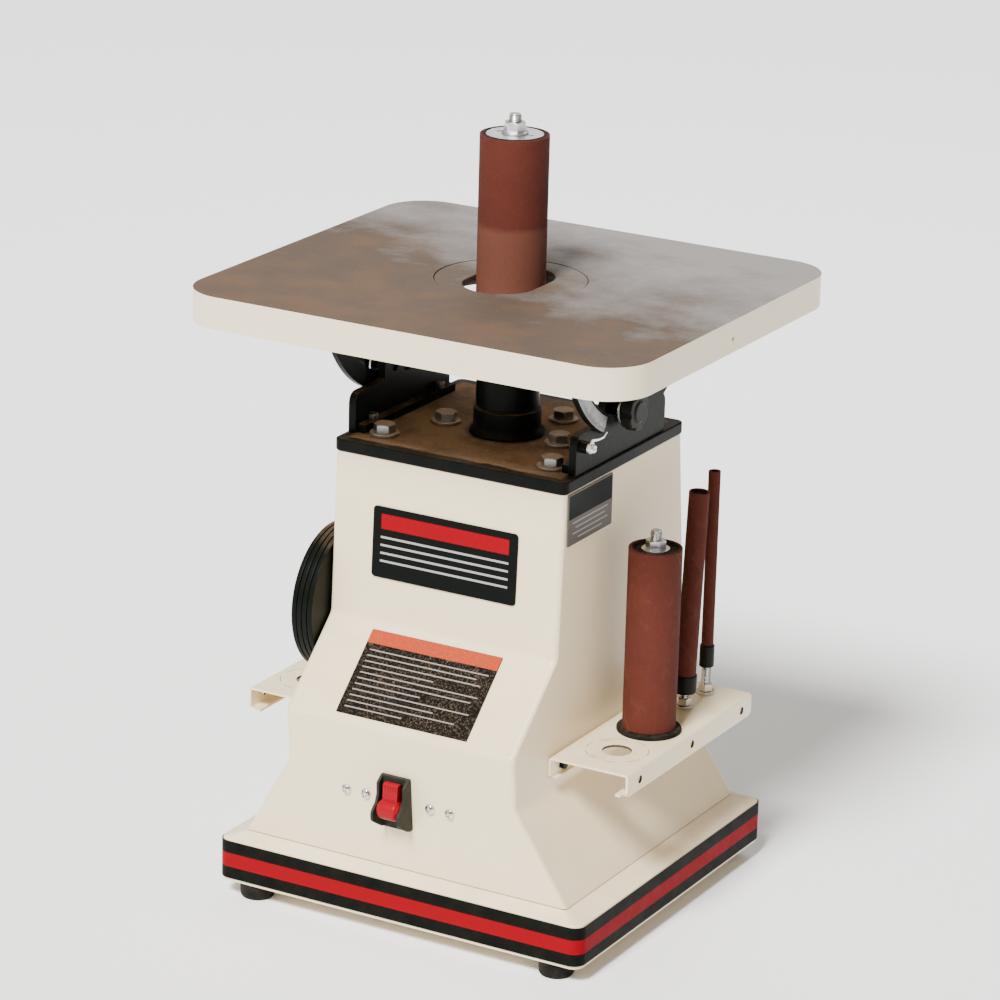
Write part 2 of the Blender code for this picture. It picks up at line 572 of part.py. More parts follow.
# ---------------------------------------------------------------- spindle, quill and drum
def build_quill(quill):
    inner, outer = QUILL_BORE, QUILL_R
    chamfer = 1 * MM
    profile = [(inner, QUILL_TOP), (outer - chamfer, QUILL_TOP), (outer, QUILL_TOP - chamfer),
               (outer, QUILL_BOTTOM), (inner, QUILL_BOTTOM)]
    tube = add("quill_tube", turned_mesh("quill_tube", profile, closed=True, steps=24), quill, colour=STEEL,
               roughness=0.3, metallic=1.0)
    lug_z = WHEEL_Z - CRANK_R + LINK_L
    lug_end = LINK_Y0 - 1.5 * MM
    length = -WHEEL_X - inner - 1.5 * MM
    centre = (WHEEL_X + length / 2, (lug_end - 5 * MM) / 2, lug_z)
    combine(tube, box_mesh("lug", (length, lug_end + 5 * MM, 11 * MM), centre), "UNION")
    combine(tube, rod_mesh("lug_eye", 6 * MM, -5 * MM, lug_end, (WHEEL_X, 0, lug_z), "Y", sides=20), "UNION")
    pin = rod_mesh("lug_pin", 4 * MM, 0, LINK_Y0 - 0.6 * MM, (WHEEL_X, 0, lug_z), "Y", sides=16)
    combine(tube, pin, "UNION")
    for name, z in (("lower_bearing", QUILL_BOTTOM + 3 * MM), ("upper_bearing", QUILL_TOP - 13 * MM)):
        bearing = ring_mesh(name, SPINDLE_R + GAP, inner - GAP, z, z + 10 * MM, steps=28)
        add(name, bearing, quill, colour=STEEL, roughness=0.25, metallic=1.0)


def build_spindle(spindle):
    flange = 22 * MM
    stud_step = DRUM_TOP - 3 * MM
    profile = [(0, STUD_TOP), (STUD_R - 0.8 * MM, STUD_TOP), (STUD_R, STUD_TOP - 1 * MM), (STUD_R, stud_step),
               (SPINDLE_R, stud_step), (SPINDLE_R, DRUM_BOTTOM), (flange, DRUM_BOTTOM),
               (flange, DRUM_BOTTOM - 3.5 * MM), (SPINDLE_R, DRUM_BOTTOM - 5 * MM),
               (SPINDLE_R, SPINDLE_BOTTOM), (0, SPINDLE_BOTTOM)]
    shaft = turned_mesh("spindle_shaft", profile, steps=24)
    add("spindle_shaft", shaft, spindle, colour=STEEL, roughness=0.25, metallic=1.0)
    core_r = DRUM_R - SLEEVE_T - GAP
    washer_z = DRUM_TOP - 2.5 * MM
    core = ring_mesh("drum_core", SPINDLE_R + GAP, core_r, DRUM_BOTTOM + GAP, washer_z - GAP, steps=32)
    add("drum_core", core, spindle, colour=RUBBER, roughness=0.8)
    sleeve = ring_mesh("sanding_sleeve", DRUM_R - SLEEVE_T, DRUM_R, DRUM_BOTTOM, DRUM_TOP, steps=36)
    add("sanding_sleeve", sleeve, spindle, colour=ABRASIVE, roughness=0.9)
    disc = ring_mesh("drum_washer", SPINDLE_R + GAP, core_r, washer_z, DRUM_TOP, steps=36)
    washer = add("drum_washer", disc, spindle, colour=STEEL, roughness=0.3, metallic=1.0)
    for i, x in enumerate((-12 * MM, 12 * MM)):
        hole = rod_mesh(f"washer_hole_{i}", 2.2 * MM, DRUM_TOP - 9 * MM, DRUM_TOP + 9 * MM, (x, 0, 0),
                        sides=12)
        combine(washer, hole)
    seat = DRUM_TOP + GAP
    flange = rod_mesh("drum_nut", 10 * MM, seat, seat + 1.5 * MM, sides=24)
    nut = add("drum_nut", flange, spindle, colour=STEEL, roughness=0.3, metallic=1.0)
    combine(nut, rod_mesh("nut_hex", 8 * MM, seat + 1 * MM, seat + 9 * MM, sides=6), "UNION")
    combine(nut, rod_mesh("nut_bore", STUD_R + GAP, seat - 9 * MM, seat + 20 * MM, sides=20))


# ---------------------------------------------------------------- motor and oscillation drive
def worm_mesh():
    """The worm's thread: a trapezoid ridge swept along a helix, its foot sunk into the rotor's tube."""
    lead = math.pi * TOOTH_PITCH_M
    turns, steps = 4, 14
    foot, crest = ROTOR_R - 0.6 * MM, WORM_R + 1.4 * MM
    section = ((foot, -1.9 * MM), (crest, -0.65 * MM), (crest, 0.65 * MM), (foot, 1.9 * MM))
    start = WHEEL_Z - lead * turns / 2
    bm = bmesh.new()
    rings = []
    count = int(turns * steps)
    for i in range(count + 1):
        angle = 2 * math.pi * (i - count / 2) / steps + math.pi
        z = start + lead * i / steps
        rings.append([bm.verts.new((r * math.cos(angle), r * math.sin(angle), z + dz)) for r, dz in section])
    for low, high in zip(rings, rings[1:]):
        for k in range(4):
            m = (k + 1) % 4
            bm.faces.new((low[k], high[k], high[m], low[m]))
    bm.faces.new(rings[0])
    bm.faces.new(list(reversed(rings[-1])))
    bmesh.ops.recalc_face_normals(bm, faces=bm.faces)
    return finish_bmesh(bm, "worm_thread")


def build_rotor(rotor):
    sleeve = ring_mesh("rotor_shaft", ROTOR_BORE, ROTOR_R, ROTOR_BOTTOM, ROTOR_TOP, steps=24)
    shaft = add("rotor_shaft", sleeve, rotor, colour=STEEL, roughness=0.3, metallic=1.0)
    combine(shaft, worm_mesh(), "UNION")
    core = ring_mesh("rotor_core", ROTOR_R + GAP, ROTOR_CORE_R, STATOR_Z0, STATOR_Z1, steps=32)
    add("rotor_core", core, rotor, colour=IRON, roughness=0.5, metallic=0.8)


def wheel_outline():
    """Teeth with straight flanks, thinner than the gap in the worm so that the mesh has backlash."""
    root, tip = WHEEL_R - 2.1 * MM, WHEEL_R + 1.5 * MM
    half_root, half_tip = 1.7 * MM / root, 0.6 * MM / tip
    points = []
    for i in range(WHEEL_TEETH):
        middle = 2 * math.pi * (i + 0.5) / WHEEL_TEETH
        for radius, offset in ((root, -half_root), (tip, -half_tip), (tip, half_tip), (root, half_root)):
            points.append((WHEEL_X + radius * math.cos(middle + offset),
                           WHEEL_Z + radius * math.sin(middle + offset)))
    return points


def build_wheel(wheel):
    disc = outline_mesh("worm_wheel", wheel_outline(), -WHEEL_HALF_T, WHEEL_HALF_T, FACING_REAR)
    gear = add("worm_wheel", disc, wheel, colour=BRONZE, roughness=0.35, metallic=1.0)
    centre, pin = (WHEEL_X, 0, WHEEL_Z), (WHEEL_X, 0, WHEEL_Z - CRANK_R)
    combine(gear, rod_mesh("hub", 9 * MM, -10 * MM, 0, centre, "Y"), "UNION")
    combine(gear, rod_mesh("wheel_shaft", 4 * MM, -27.5 * MM, -9 * MM, centre, "Y", sides=16), "UNION")
    combine(gear, rod_mesh("crank_pin", 3.8 * MM, 0, LINK_Y1 + 0.8 * MM, pin, "Y", sides=20), "UNION")


def build_link(link):
    low, high = WHEEL_Z - CRANK_R, WHEEL_Z - CRANK_R + LINK_L
    eye = 6.5 * MM
    points = arc(WHEEL_X, high, eye, 0, math.pi, 10) + arc(WHEEL_X, low, eye, math.pi, 2 * math.pi, 10)
    flat = outline_mesh("connecting_link", points, LINK_Y0, LINK_Y1, FACING_REAR)
    bar = add("connecting_link", flat, link, colour=STEEL, roughness=0.35, metallic=1.0)
    for name, z in (("lower_eye", low), ("upper_eye", high)):
        combine(bar, rod_mesh(name, 4.3 * MM, 0, 20 * MM, (WHEEL_X, 0, z), "Y", sides=20))


def build_drive_cases():
    case_x0, case_x1, half_y, wall = -66 * MM, 32 * MM, 32 * MM, 4 * MM
    z0, z1 = GEAR_CASE_Z, PLATE_Z - GAP
    size = (case_x1 - case_x0, 2 * half_y, z1 - z0)
    centre = ((case_x0 + case_x1) / 2, 0, (z0 + z1) / 2)
    case = add("gear_case", box_mesh("gear_case", size, centre), colour=(0.45, 0.45, 0.43, 1), roughness=0.5,
               metallic=0.8, smooth=0)
    inner = (size[0] - 2 * wall, 2 * half_y, size[2] - 2 * wall)
    combine(case, box_mesh("case_inside", inner, (centre[0], wall, centre[2])))
    combine(case, rod_mesh("case_top_hole", QUILL_R + 1 * MM, z1 - 10 * MM, z1 + 10 * MM, sides=28))
    combine(case, rod_mesh("case_floor_hole", 10 * MM, z0 - 10 * MM, z0 + 10 * MM, sides=24))

    inner_r, neck = MOTOR_R - MOTOR_WALL, 10 * MM
    profile = [(neck, MOTOR_TOP), (MOTOR_R - 4 * MM, MOTOR_TOP), (MOTOR_R, MOTOR_TOP - 4 * MM),
               (MOTOR_R, MOTOR_BOTTOM), (inner_r, MOTOR_BOTTOM), (inner_r, MOTOR_TOP - 5 * MM),
               (neck, MOTOR_TOP - 5 * MM)]
    add("motor_case", turned_mesh("motor_case", profile, closed=True, steps=24), colour=BLACK, roughness=0.5)
    bell_top = MOTOR_BOTTOM - GAP
    profile = [(neck, bell_top), (MOTOR_R, bell_top), (MOTOR_R, bell_top - 6 * MM),
               (MOTOR_R - 5 * MM, bell_top - 10 * MM), (neck, bell_top - 10 * MM)]
    add("motor_end_bell", turned_mesh("motor_end_bell", profile, closed=True, steps=24), colour=IRON,
        roughness=0.5, metallic=0.8)
    core = ring_mesh("stator_core", ROTOR_CORE_R + 0.6 * MM, inner_r - 1 * MM, STATOR_Z0, STATOR_Z1, steps=32)
    add("stator_core", core, colour=IRON, roughness=0.5, metallic=0.8)


# ---------------------------------------------------------------- shelves and stored pieces
def shelf_mesh(sign):
    """A folded channel: flange down the cabinet wall, flat top, outer flange and inward lip."""
    top, low = SHELF_Z, SHELF_Z - SHELF_DROP
    section = [(SHELF_X0, low), (SHELF_X0, top), (SHELF_X1, top), (SHELF_X1, low),
               (SHELF_X1 - SHELF_LIP, low)]
    bm = bmesh.new()
    front, rear = ([bm.verts.new((x, y, z)) for x, z in section] for y in (SHELF_Y0, SHELF_Y1))
    for i in range(len(section) - 1):
        bm.faces.new((front[i], front[i + 1], rear[i + 1], rear[i]))
    mesh = thickened(bm, "shelf", SHELF_SHEET)
    return mirrored(mesh) if sign < 0 else mesh


def build_shelves():
    for side, sign in (("right", 1), ("left", -1)):
        shelf = add("storage_shelf_" + side, shelf_mesh(sign), colour=CREAM, roughness=0.35, smooth=0)
        for i, y in enumerate((EMPTY_HOLE_Y, DRUM2_Y, TUBE_Y, SMALL_TUBE_Y)):
            radius = STORE_HOLE_R if i < 2 else 5 * MM
            combine(shelf, rod_mesh(f"store_hole_{side}_{i}", radius, SHELF_Z - 9 * MM, SHELF_Z + 9 * MM,
                                    (sign * STORE_X, y, 0), sides=20))
        for i, y in enumerate((-75 * MM, 0, 75 * MM)):
            ends = sorted((sign * 150 * MM, sign * 170 * MM))
            combine(shelf, rod_mesh(f"flange_hole_{side}_{i}", 3 * MM, ends[0], ends[1],
                                    (0, y, SHELF_Z - 9 * MM), "X", sides=12))


def build_stored_drum():
    lift = pivot("stored_drum_lift", (STORE_X, DRUM2_Y, SHELF_Z))
    centre = (STORE_X, DRUM2_Y, 0)
    floor = SHELF_Z + GAP
    core_r, top = DRUM2_R - SLEEVE_T - GAP, SHELF_Z + 142 * MM
    profile = [(0, top + 13 * MM), (4.5 * MM, top + 13 * MM), (4.5 * MM, top + 6 * MM),
               (7.5 * MM, top + 6 * MM), (7.5 * MM, top - 1 * MM), (11 * MM, top - 1 * MM),
               (11 * MM, top - 3 * MM),
               (core_r, top - 3 * MM), (core_r, floor + 3 * MM), (24 * MM, floor + 3 * MM), (24 * MM, floor),
               (9.5 * MM, floor), (9.5 * MM, floor - 8 * MM), (0, floor - 8 * MM)]
    core = turned_mesh("stored_drum_core", profile, centre=centre, steps=20)
    add("stored_drum_core", core, lift, colour=RUBBER, roughness=0.7)
    add("stored_sleeve", ring_mesh("stored_sleeve", DRUM2_R - SLEEVE_T, DRUM2_R, floor + 3 * MM + GAP, top,
                                   centre=centre, steps=28), lift, colour=ABRASIVE, roughness=0.9)


def build_stored_tube(name, y, radius, sleeve_low, sleeve_top, collar, lean=0.0):
    """A thin sleeve on its arbor, whose foot drops into a hole of the shelf. It leans outwards by `lean`."""
    foot = (STORE_X, y, SHELF_Z)
    lift = pivot(name + "_lift", foot)
    shank, stub, stub_length = 6.2 * MM, 4.2 * MM, 8 * MM
    floor = GAP + shank * math.sin(lean)
    top, low = sleeve_top - SHELF_Z, sleeve_low - SHELF_Z
    core = radius * 0.6
    profile = [(0, top - 3 * MM), (core, top - 3 * MM), (core, low), (radius + 1 * MM, low),
               (radius + 1 * MM, low - collar), (shank, low - collar), (shank, floor),
               (stub, floor), (stub, floor - stub_length), (0, floor - stub_length)]
    arbor = turned_mesh(name + "_arbor", profile, steps=20)
    sleeve = ring_mesh(name + "_sleeve", core + GAP, radius, low + GAP, top, steps=20)
    for mesh in (arbor, sleeve):
        mesh.transform(Matrix.Translation(foot) @ Matrix.Rotation(lean, 4, "Y"))
    add(name + "_arbor", arbor, lift, colour=BLACK, roughness=0.5)
    add(name + "_sleeve", sleeve, lift, colour=ABRASIVE, roughness=0.9)


def build_spare_inserts():
    start = BOX_HALF_W + GAP
    centre = (0, SPARE_Y, SPARE_Z)
    stack_start = start + 1 * MM
    stack_end = stack_start + SPARE_COUNT * SPARE_T
    groove = 0.4 * MM
    profile = [(6 * MM, stack_end)]
    for i in reversed(range(SPARE_COUNT)):
        low = stack_start + i * SPARE_T
        profile += [(INSERT_R, low + SPARE_T - groove), (INSERT_R - 1.5 * MM, low)]
    profile.insert(1, (INSERT_R - 1 * MM, stack_end))
    profile.append((6 * MM, stack_start))
    stack = mirrored(turned_mesh("insert_stack", profile, closed=True, axis="X", steps=28))
    stack.transform(Matrix.Translation(centre))
    add("insert_stack", stack, colour=BLACK, roughness=0.45)
    profile = [(0, stack_end + 9 * MM), (11 * MM, stack_end + 9 * MM), (13 * MM, stack_end + 6 * MM),
               (13 * MM, stack_end + GAP), (5 * MM, stack_end + GAP), (5 * MM, start), (0, start)]
    peg = mirrored(turned_mesh("insert_peg", profile, axis="X", steps=24))
    peg.transform(Matrix.Translation(centre))
    add("insert_peg", peg, colour=BLACK, roughness=0.4)


# ---------------------------------------------------------------- trim, switch and rear fittings
def panel_plate(name, width, height, thickness, point, tilt, colour, corner=0.0):
    """A thin plate made in the XZ plane, its back just off the panel it lies on."""
    flat = box_mesh(name, (width, height, thickness), (0, 0, 0), upright=corner, upright_segments=3)
    flat.transform(Matrix.Rotation(math.radians(90), 4, "X"))
    flat.transform(Matrix.Translation((0, -GAP - thickness / 2, 0)))
    flat.transform(tilted(point, tilt))
    return add(name, flat, colour=colour, roughness=0.35)


def build_trim():
    badge_z = 280.5 * MM
    panel_plate("badge_plate", 121 * MM, 54 * MM, 1 * MM, (0, upper_front_y(badge_z), badge_z), UPPER_TILT,
                BLACK, 3 * MM)
    middle = (0, (SLOPE_LOW_Y + SLOPE_HIGH_Y) / 2, (SLOPE_LOW_Z + SLOPE_HIGH_Z) / 2)
    panel_plate("notice_plate", 110 * MM, 70 * MM, 0.8 * MM, middle, SLOPE_TILT, BLACK)
    size = (0.8 * MM, 66 * MM, 39 * MM)
    side = box_mesh("side_plate", size, (BOX_HALF_W + GAP + size[0] / 2, -47 * MM, 322 * MM))
    add("side_plate", side, colour=BLACK, roughness=0.3, smooth=0)
    for i, x in enumerate(PANEL_SCREWS_X):
        name = f"panel_screw_{i + 1}"
        profile = [(0, 2.4 * MM), (2.2 * MM, 2 * MM), (3.6 * MM, 0.9 * MM), (3.8 * MM, 0), (0, 0)]
        screw = turned_mesh(name, profile, steps=16)
        screw.transform(Matrix.Translation((0, -GAP, 0)) @ Matrix.Rotation(math.radians(90), 4, "X"))
        screw.transform(tilted((x, lower_front_y(PANEL_SCREW_Z), PANEL_SCREW_Z), LOWER_TILT))
        add(name, screw, colour=STEEL, roughness=0.15, metallic=1.0)


def build_switch():
    place = tilted((SWITCH_X, lower_front_y(SWITCH_Z), SWITCH_Z), LOWER_TILT)
    plate = box_mesh("switch_bezel", (SWITCH_W, 3 * MM, SWITCH_H), (0, -GAP - 1.5 * MM, 0))
    plate.transform(place)
    bezel = add("switch_bezel", plate, colour=BLACK, roughness=0.45, smooth=0)
    cheek_t = 2.2 * MM
    outline = [(-out, up) for out, up in CHEEK]
    for side, x in (("left", -SWITCH_W / 2), ("right", SWITCH_W / 2 - cheek_t)):
        cheek = outline_mesh(f"cheek_{side}", outline, x, x + cheek_t, SIDEWAYS)
        cheek.transform(place)
        combine(bezel, cheek, "UNION")
    window = box_mesh("switch_window", (15 * MM, 20 * MM, 30 * MM), (0, 0, 0))
    window.transform(place)
    combine(bezel, window)

    hinge_local = Vector((0, -7 * MM, 13 * MM))
    hinge = place @ hinge_local
    axis = pivot("switch_paddle_axis", hinge)
    stem_centre = hinge_local + Vector((0, -0.5 * MM, -10 * MM))
    stem = box_mesh("switch_paddle", (12.4 * MM, 6 * MM, 28 * MM), stem_centre, edge=0.8 * MM, segments=1)
    stem.transform(place)
    paddle = add("switch_paddle", stem, axis, colour=RED, roughness=0.3)
    half = 9.3 * MM
    bulb = rod_mesh("paddle_bulb", PADDLE_BULB_R, -half, half, (0, -11.1 * MM, -1.8 * MM), "X", sides=20)
    bulb.transform(place)
    combine(paddle, bulb, "UNION")


def build_rear_fittings():
    inner, outer, length = 28 * MM, 31 * MM, 44 * MM
    profile = [(inner, length), (outer, length), (outer, 3 * MM), (38 * MM, 3 * MM), (38 * MM, 0), (inner, 0)]
    port = turned_mesh("dust_port", profile, closed=True, steps=24)
    place = tilted((0, rear_y(PORT_Z) + GAP, PORT_Z), REAR_TILT)
    port.transform(place @ ALONG["Y"])
    add("dust_port", port, colour=BLACK, roughness=0.5)
    profile = [(3.6 * MM, 14 * MM), (5.5 * MM, 14 * MM), (7 * MM, 3 * MM), (10 * MM, 3 * MM), (10 * MM, 0),
               (3.6 * MM, 0)]
    gland = turned_mesh("cord_inlet", profile, closed=True, steps=20)
    gland.transform(tilted((INLET_X, rear_y(INLET_Z) + GAP, INLET_Z), REAR_TILT) @ ALONG["Y"])
    add("cord_inlet", gland, colour=BLACK, roughness=0.6)


build_base()
build_cabinet()
build_top_plate()
build_brackets()
build_table()
build_lock_knobs()

quill_slide = pivot("quill_slide", (0, 0, QUILL_BOTTOM))
spindle_axis = pivot("spindle_axis", (0, 0, QUILL_BOTTOM), quill_slide)
rotor_axis = pivot("rotor_axis", (0, 0, WHEEL_Z))
wheel_axis = pivot("wheel_axis", (WHEEL_X, 0, WHEEL_Z))
link_pin = pivot("link_pin", (WHEEL_X, 0, WHEEL_Z - CRANK_R), wheel_axis)
build_quill(quill_slide)
build_spindle(spindle_axis)
build_rotor(rotor_axis)
build_wheel(wheel_axis)
build_link(link_pin)
build_drive_cases()

build_shelves()
build_stored_drum()
build_stored_tube("medium_tube", TUBE_Y, TUBE_R, 174 * MM, 318 * MM, collar=14 * MM, lean=TUBE_LEAN)
build_stored_tube("small_tube", SMALL_TUBE_Y, SMALL_TUBE_R, 186 * MM, 323 * MM, collar=17 * MM)
build_spare_inserts()
build_trim()
build_switch()
build_rear_fittings()
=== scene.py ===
"""Looks of the benchtop spindle sander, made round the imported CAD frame.

Metres, +Z up, the spindle on the world Z axis, the user at -Y.
"""
import math

import bmesh
import bpy
from mathutils import Matrix, Vector


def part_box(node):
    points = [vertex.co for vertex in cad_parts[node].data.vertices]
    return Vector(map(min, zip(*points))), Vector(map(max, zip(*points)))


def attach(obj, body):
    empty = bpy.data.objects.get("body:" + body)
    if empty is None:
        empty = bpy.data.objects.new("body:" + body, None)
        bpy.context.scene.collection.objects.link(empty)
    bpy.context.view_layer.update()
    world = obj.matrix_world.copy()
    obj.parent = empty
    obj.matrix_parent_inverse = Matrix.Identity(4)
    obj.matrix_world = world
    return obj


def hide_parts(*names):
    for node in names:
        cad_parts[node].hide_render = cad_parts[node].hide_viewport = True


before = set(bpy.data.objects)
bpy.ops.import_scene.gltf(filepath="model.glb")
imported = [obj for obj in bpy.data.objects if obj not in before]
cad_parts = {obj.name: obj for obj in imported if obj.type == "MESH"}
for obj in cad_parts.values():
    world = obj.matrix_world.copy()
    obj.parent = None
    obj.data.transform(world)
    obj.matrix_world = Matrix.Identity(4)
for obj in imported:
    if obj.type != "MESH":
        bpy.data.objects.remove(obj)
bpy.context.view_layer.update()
MM = 0.001
GAP = 0.3 * MM

# The camera looks at a point on the spindle's axis, from the user's right
CAMERA_AZIMUTH, CAMERA_ELEVATION, CAMERA_ROLL = math.radians(29.30), math.radians(18.40), math.radians(1.52)
CAMERA_DISTANCE, CAMERA_AIM = 3.1419, Vector((0, 0, 0.2982))
CAMERA_SIDESTEP, CAMERA_LENS = -3.76 * MM, 153.0

DUST = (0.30, 0.185, 0.115)



def at(x, y, z):
    return Matrix.Translation((x, y, z))


def spun(degrees, axis):
    return Matrix.Rotation(math.radians(degrees), 4, axis)


ALONG = {"X": spun(90, "Y"), "Y": spun(-90, "X"),
         "Z": Matrix.Identity(4)}
# A flat outline's (x, y) becomes the world's (y, z) and its extrusion runs along X
SIDEWAYS = Matrix(((0, 0, 1, 0), (1, 0, 0, 0), (0, 1, 0, 0), (0, 0, 0, 1)))
# A flat outline's (x, y) becomes the world's (x, z) and its extrusion runs along -Y
FACING_FRONT = Matrix(((1, 0, 0, 0), (0, 0, -1, 0), (0, 1, 0, 0), (0, 0, 0, 1)))
MIRROR_X = Matrix.Scale(-1, 4, (1, 0, 0))
SIDES = (("right", Matrix.Identity(4)), ("left", MIRROR_X))


def mm(*points):
    """Points given in millimetres, as metres."""
    return [tuple(value * MM for value in point) for point in points]


def size_of(node):
    low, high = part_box(node)
    return low, high, (low + high) / 2


# ---------------------------------------------------------------- materials
class Finish:
    """A node material under construction. Its coordinates are the piece's own, in metres."""

    def __init__(self, name, colour, roughness, metallic=0.0, **fixed):
        self.material = bpy.data.materials.new(name)
        self.material.use_nodes = True
        self.tree = self.material.node_tree
        self.shader = self.tree.nodes["Principled BSDF"]
        self.coordinates = self.tree.nodes.new("ShaderNodeTexCoord")
        self.set("Base Color", (*colour, 1))
        self.set("Roughness", roughness)
        self.set("Metallic", metallic)
        for socket, value in fixed.items():
            self.shader.inputs[socket.replace("_", " ")].default_value = value
        self.height = None

    def set(self, socket, value):
        if isinstance(value, bpy.types.NodeSocket):
            self.tree.links.new(value, self.shader.inputs[socket])
        else:
            self.shader.inputs[socket].default_value = value

    def node(self, kind, inputs, output=0, **settings):
        node = self.tree.nodes.new(kind)
        for key, value in settings.items():
            setattr(node, key, value)
        for key, value in inputs.items():
            if isinstance(value, bpy.types.NodeSocket):
                self.tree.links.new(value, node.inputs[key])
            else:
                node.inputs[key].default_value = value
        return node.outputs[output]

    def math(self, operation, *values):
        return self.node("ShaderNodeMath", dict(enumerate(values)), operation=operation)

    def times(self, a, b):
        return self.math("MULTIPLY", a, b)

    def plus(self, a, b):
        return self.math("ADD", a, b)

    def minus(self, a, b):
        return self.math("SUBTRACT", a, b)

    def place(self, centre=(0, 0, 0), scale=(1, 1, 1), turn=(0, 0, 0)):
        moved = self.node("ShaderNodeVectorMath", {0: self.coordinates.outputs["Object"], 1: centre},
                          operation="SUBTRACT")
        return self.node("ShaderNodeMapping", {"Vector": moved, "Scale": scale, "Rotation": turn})

    def noise(self, scale, detail=3, stretch=(1, 1, 1), roughness=0.55, turn=(0, 0, 0)):
        return self.node("ShaderNodeTexNoise", {"Vector": self.place(scale=stretch, turn=turn),
                                                "Scale": scale, "Detail": detail, "Roughness": roughness})

    def cells(self, scale, stretch=(1, 1, 1)):
        return self.node("ShaderNodeTexVoronoi", {"Vector": self.place(scale=stretch), "Scale": scale})

    def spread(self, value, low, high, to_low=0.0, to_high=1.0):
        return self.node("ShaderNodeMapRange", {"Value": value, "From Min": low, "From Max": high,
                                                "To Min": to_low, "To Max": to_high})

    def patches(self, scale, detail, *limits):
        """Noise whose range is spread over the limits."""
        return self.spread(self.noise(scale, detail), *limits)

    def axis(self, index):
        return self.node("ShaderNodeSeparateXYZ", {0: self.coordinates.outputs["Object"]}, index)

    def facing_up(self, low=0.5, high=0.98):
        z = self.node("ShaderNodeSeparateXYZ", {0: self.coordinates.outputs["Normal"]}, 2)
        return self.spread(z, low, high)

    def mix(self, factor, a, b):
        """Blends two colours; a colour given as a tuple has no alpha."""
        node = self.tree.nodes.new("ShaderNodeMix")
        node.data_type = "RGBA"
        sockets = [s for s in node.inputs if s.enabled]
        for socket, value in zip(sockets, (factor, a, b)):
            if isinstance(value, bpy.types.NodeSocket):
                self.tree.links.new(value, socket)
            else:
                socket.default_value = (*value, 1) if isinstance(value, tuple) else value
        return next(s for s in node.outputs if s.enabled)

    def bump(self, height, distance, strength=1.0):
        """Adds a layer of relief; layers chain."""
        inputs = {"Height": height, "Distance": distance, "Strength": strength}
        if self.height:
            inputs["Normal"] = self.height
        self.height = self.node("ShaderNodeBump", inputs)
        self.set("Normal", self.height)

    def wear(self, radius):
        """How rounded the surface is here: 0 on a flat, towards 1 on an edge."""
        soft = self.node("ShaderNodeBevel", {"Radius": radius}, samples=6)
        plain = self.node("ShaderNodeNewGeometry", {}, "Normal")
        same = self.node("ShaderNodeVectorMath", {0: soft, 1: plain}, "Value", operation="DOT_PRODUCT")
        return self.spread(same, 0.995, 0.9)


def cream_paint(name="cream_enamel", dust=0.5, tone=(0.81, 0.675, 0.455)):
    f = Finish(name, tone, 0.34, Specular_IOR_Level=0.5, Coat_Weight=0.15, Coat_Roughness=0.2)
    clouds = f.noise(7, 4)
    shade = f.mix(f.spread(clouds, 0.3, 0.7), tone, (tone[0] * 0.955, tone[1] * 0.945, tone[2] * 0.915))
    grains = f.patches(900, 2, 0.56, 0.72)
    drift = f.patches(28, 5, 0.42, 0.68)
    film = f.times(f.times(drift, f.facing_up(0.2, 0.95)), dust)
    speckled = f.times(film, f.plus(f.times(grains, 0.8), 0.35))
    shade = f.mix(speckled, shade, (0.42, 0.26, 0.14))
    shade = f.mix(f.times(f.wear(0.8 * MM), 0.25), shade, (0.55, 0.48, 0.38))
    f.set("Base Color", shade)
    rough = f.spread(clouds, 0.2, 0.8, 0.29, 0.40)
    f.set("Roughness", f.plus(rough, f.times(speckled, 0.4)))
    f.bump(f.noise(520, 2), 0.05 * MM, 0.5)
    f.bump(f.noise(60, 2), 0.12 * MM, 0.35)
    return f.material


def black_enamel(name="black_enamel", dust=0.9, grain=0.12, plate=None):
    """Crinkled black enamel under sawdust. On the `plate` its rim and the housing's foot stay clean."""
    f = Finish(name, (0.004, 0.005, 0.004), 0.4, Specular_IOR_Level=0.06)
    lumps = f.noise(260, 4)
    grains = f.patches(1100, 2, 0.35, 0.65)
    drift = f.spread(f.noise(22, 5, roughness=0.62), 0.36, 0.55)
    if plate:
        low, high, mid = plate
        wander = f.patches(55, 4, 0, 1, -4 * MM, 4 * MM)
        across = f.minus(f.math("ABSOLUTE", f.axis(0)), high.x - 8 * MM)
        deep = f.minus(f.math("ABSOLUTE", f.minus(f.axis(1), mid.y)),
                      (high.y - low.y) / 2 - 8 * MM)
        rim = f.spread(f.plus(f.math("MAXIMUM", across, deep), wander), -2 * MM, 1 * MM, 1, 0.12)
        squares = f.plus(f.times(f.axis(0), f.axis(0)), f.times(f.axis(1), f.axis(1)))
        foot = f.spread(f.plus(f.math("SQRT", squares), wander), 29 * MM, 33 * MM, 0.1, 1)
        drift = f.times(f.plus(f.times(drift, 0.5), 0.5), f.times(rim, foot))
    film = f.times(f.times(drift, f.facing_up(0.75, 0.99)), dust)
    cover = f.times(film, f.plus(f.times(grains, 0.45), 0.55))
    haze = f.times(f.patches(45, 4, 0.35, 0.8), 0.06)
    body = f.mix(haze, (0.0025, 0.0035, 0.0025), (0.05, 0.036, 0.025))
    body = f.mix(f.times(f.wear(0.7 * MM), 0.15), body, (0.07, 0.07, 0.065))
    f.set("Base Color", f.mix(cover, body, DUST))
    f.set("Roughness", f.spread(cover, 0, 1, 0.36, 0.95))
    f.bump(lumps, grain * MM, 0.6)
    f.bump(f.times(f.noise(700, 3), film), 0.35 * MM, 0.8)
    return f.material


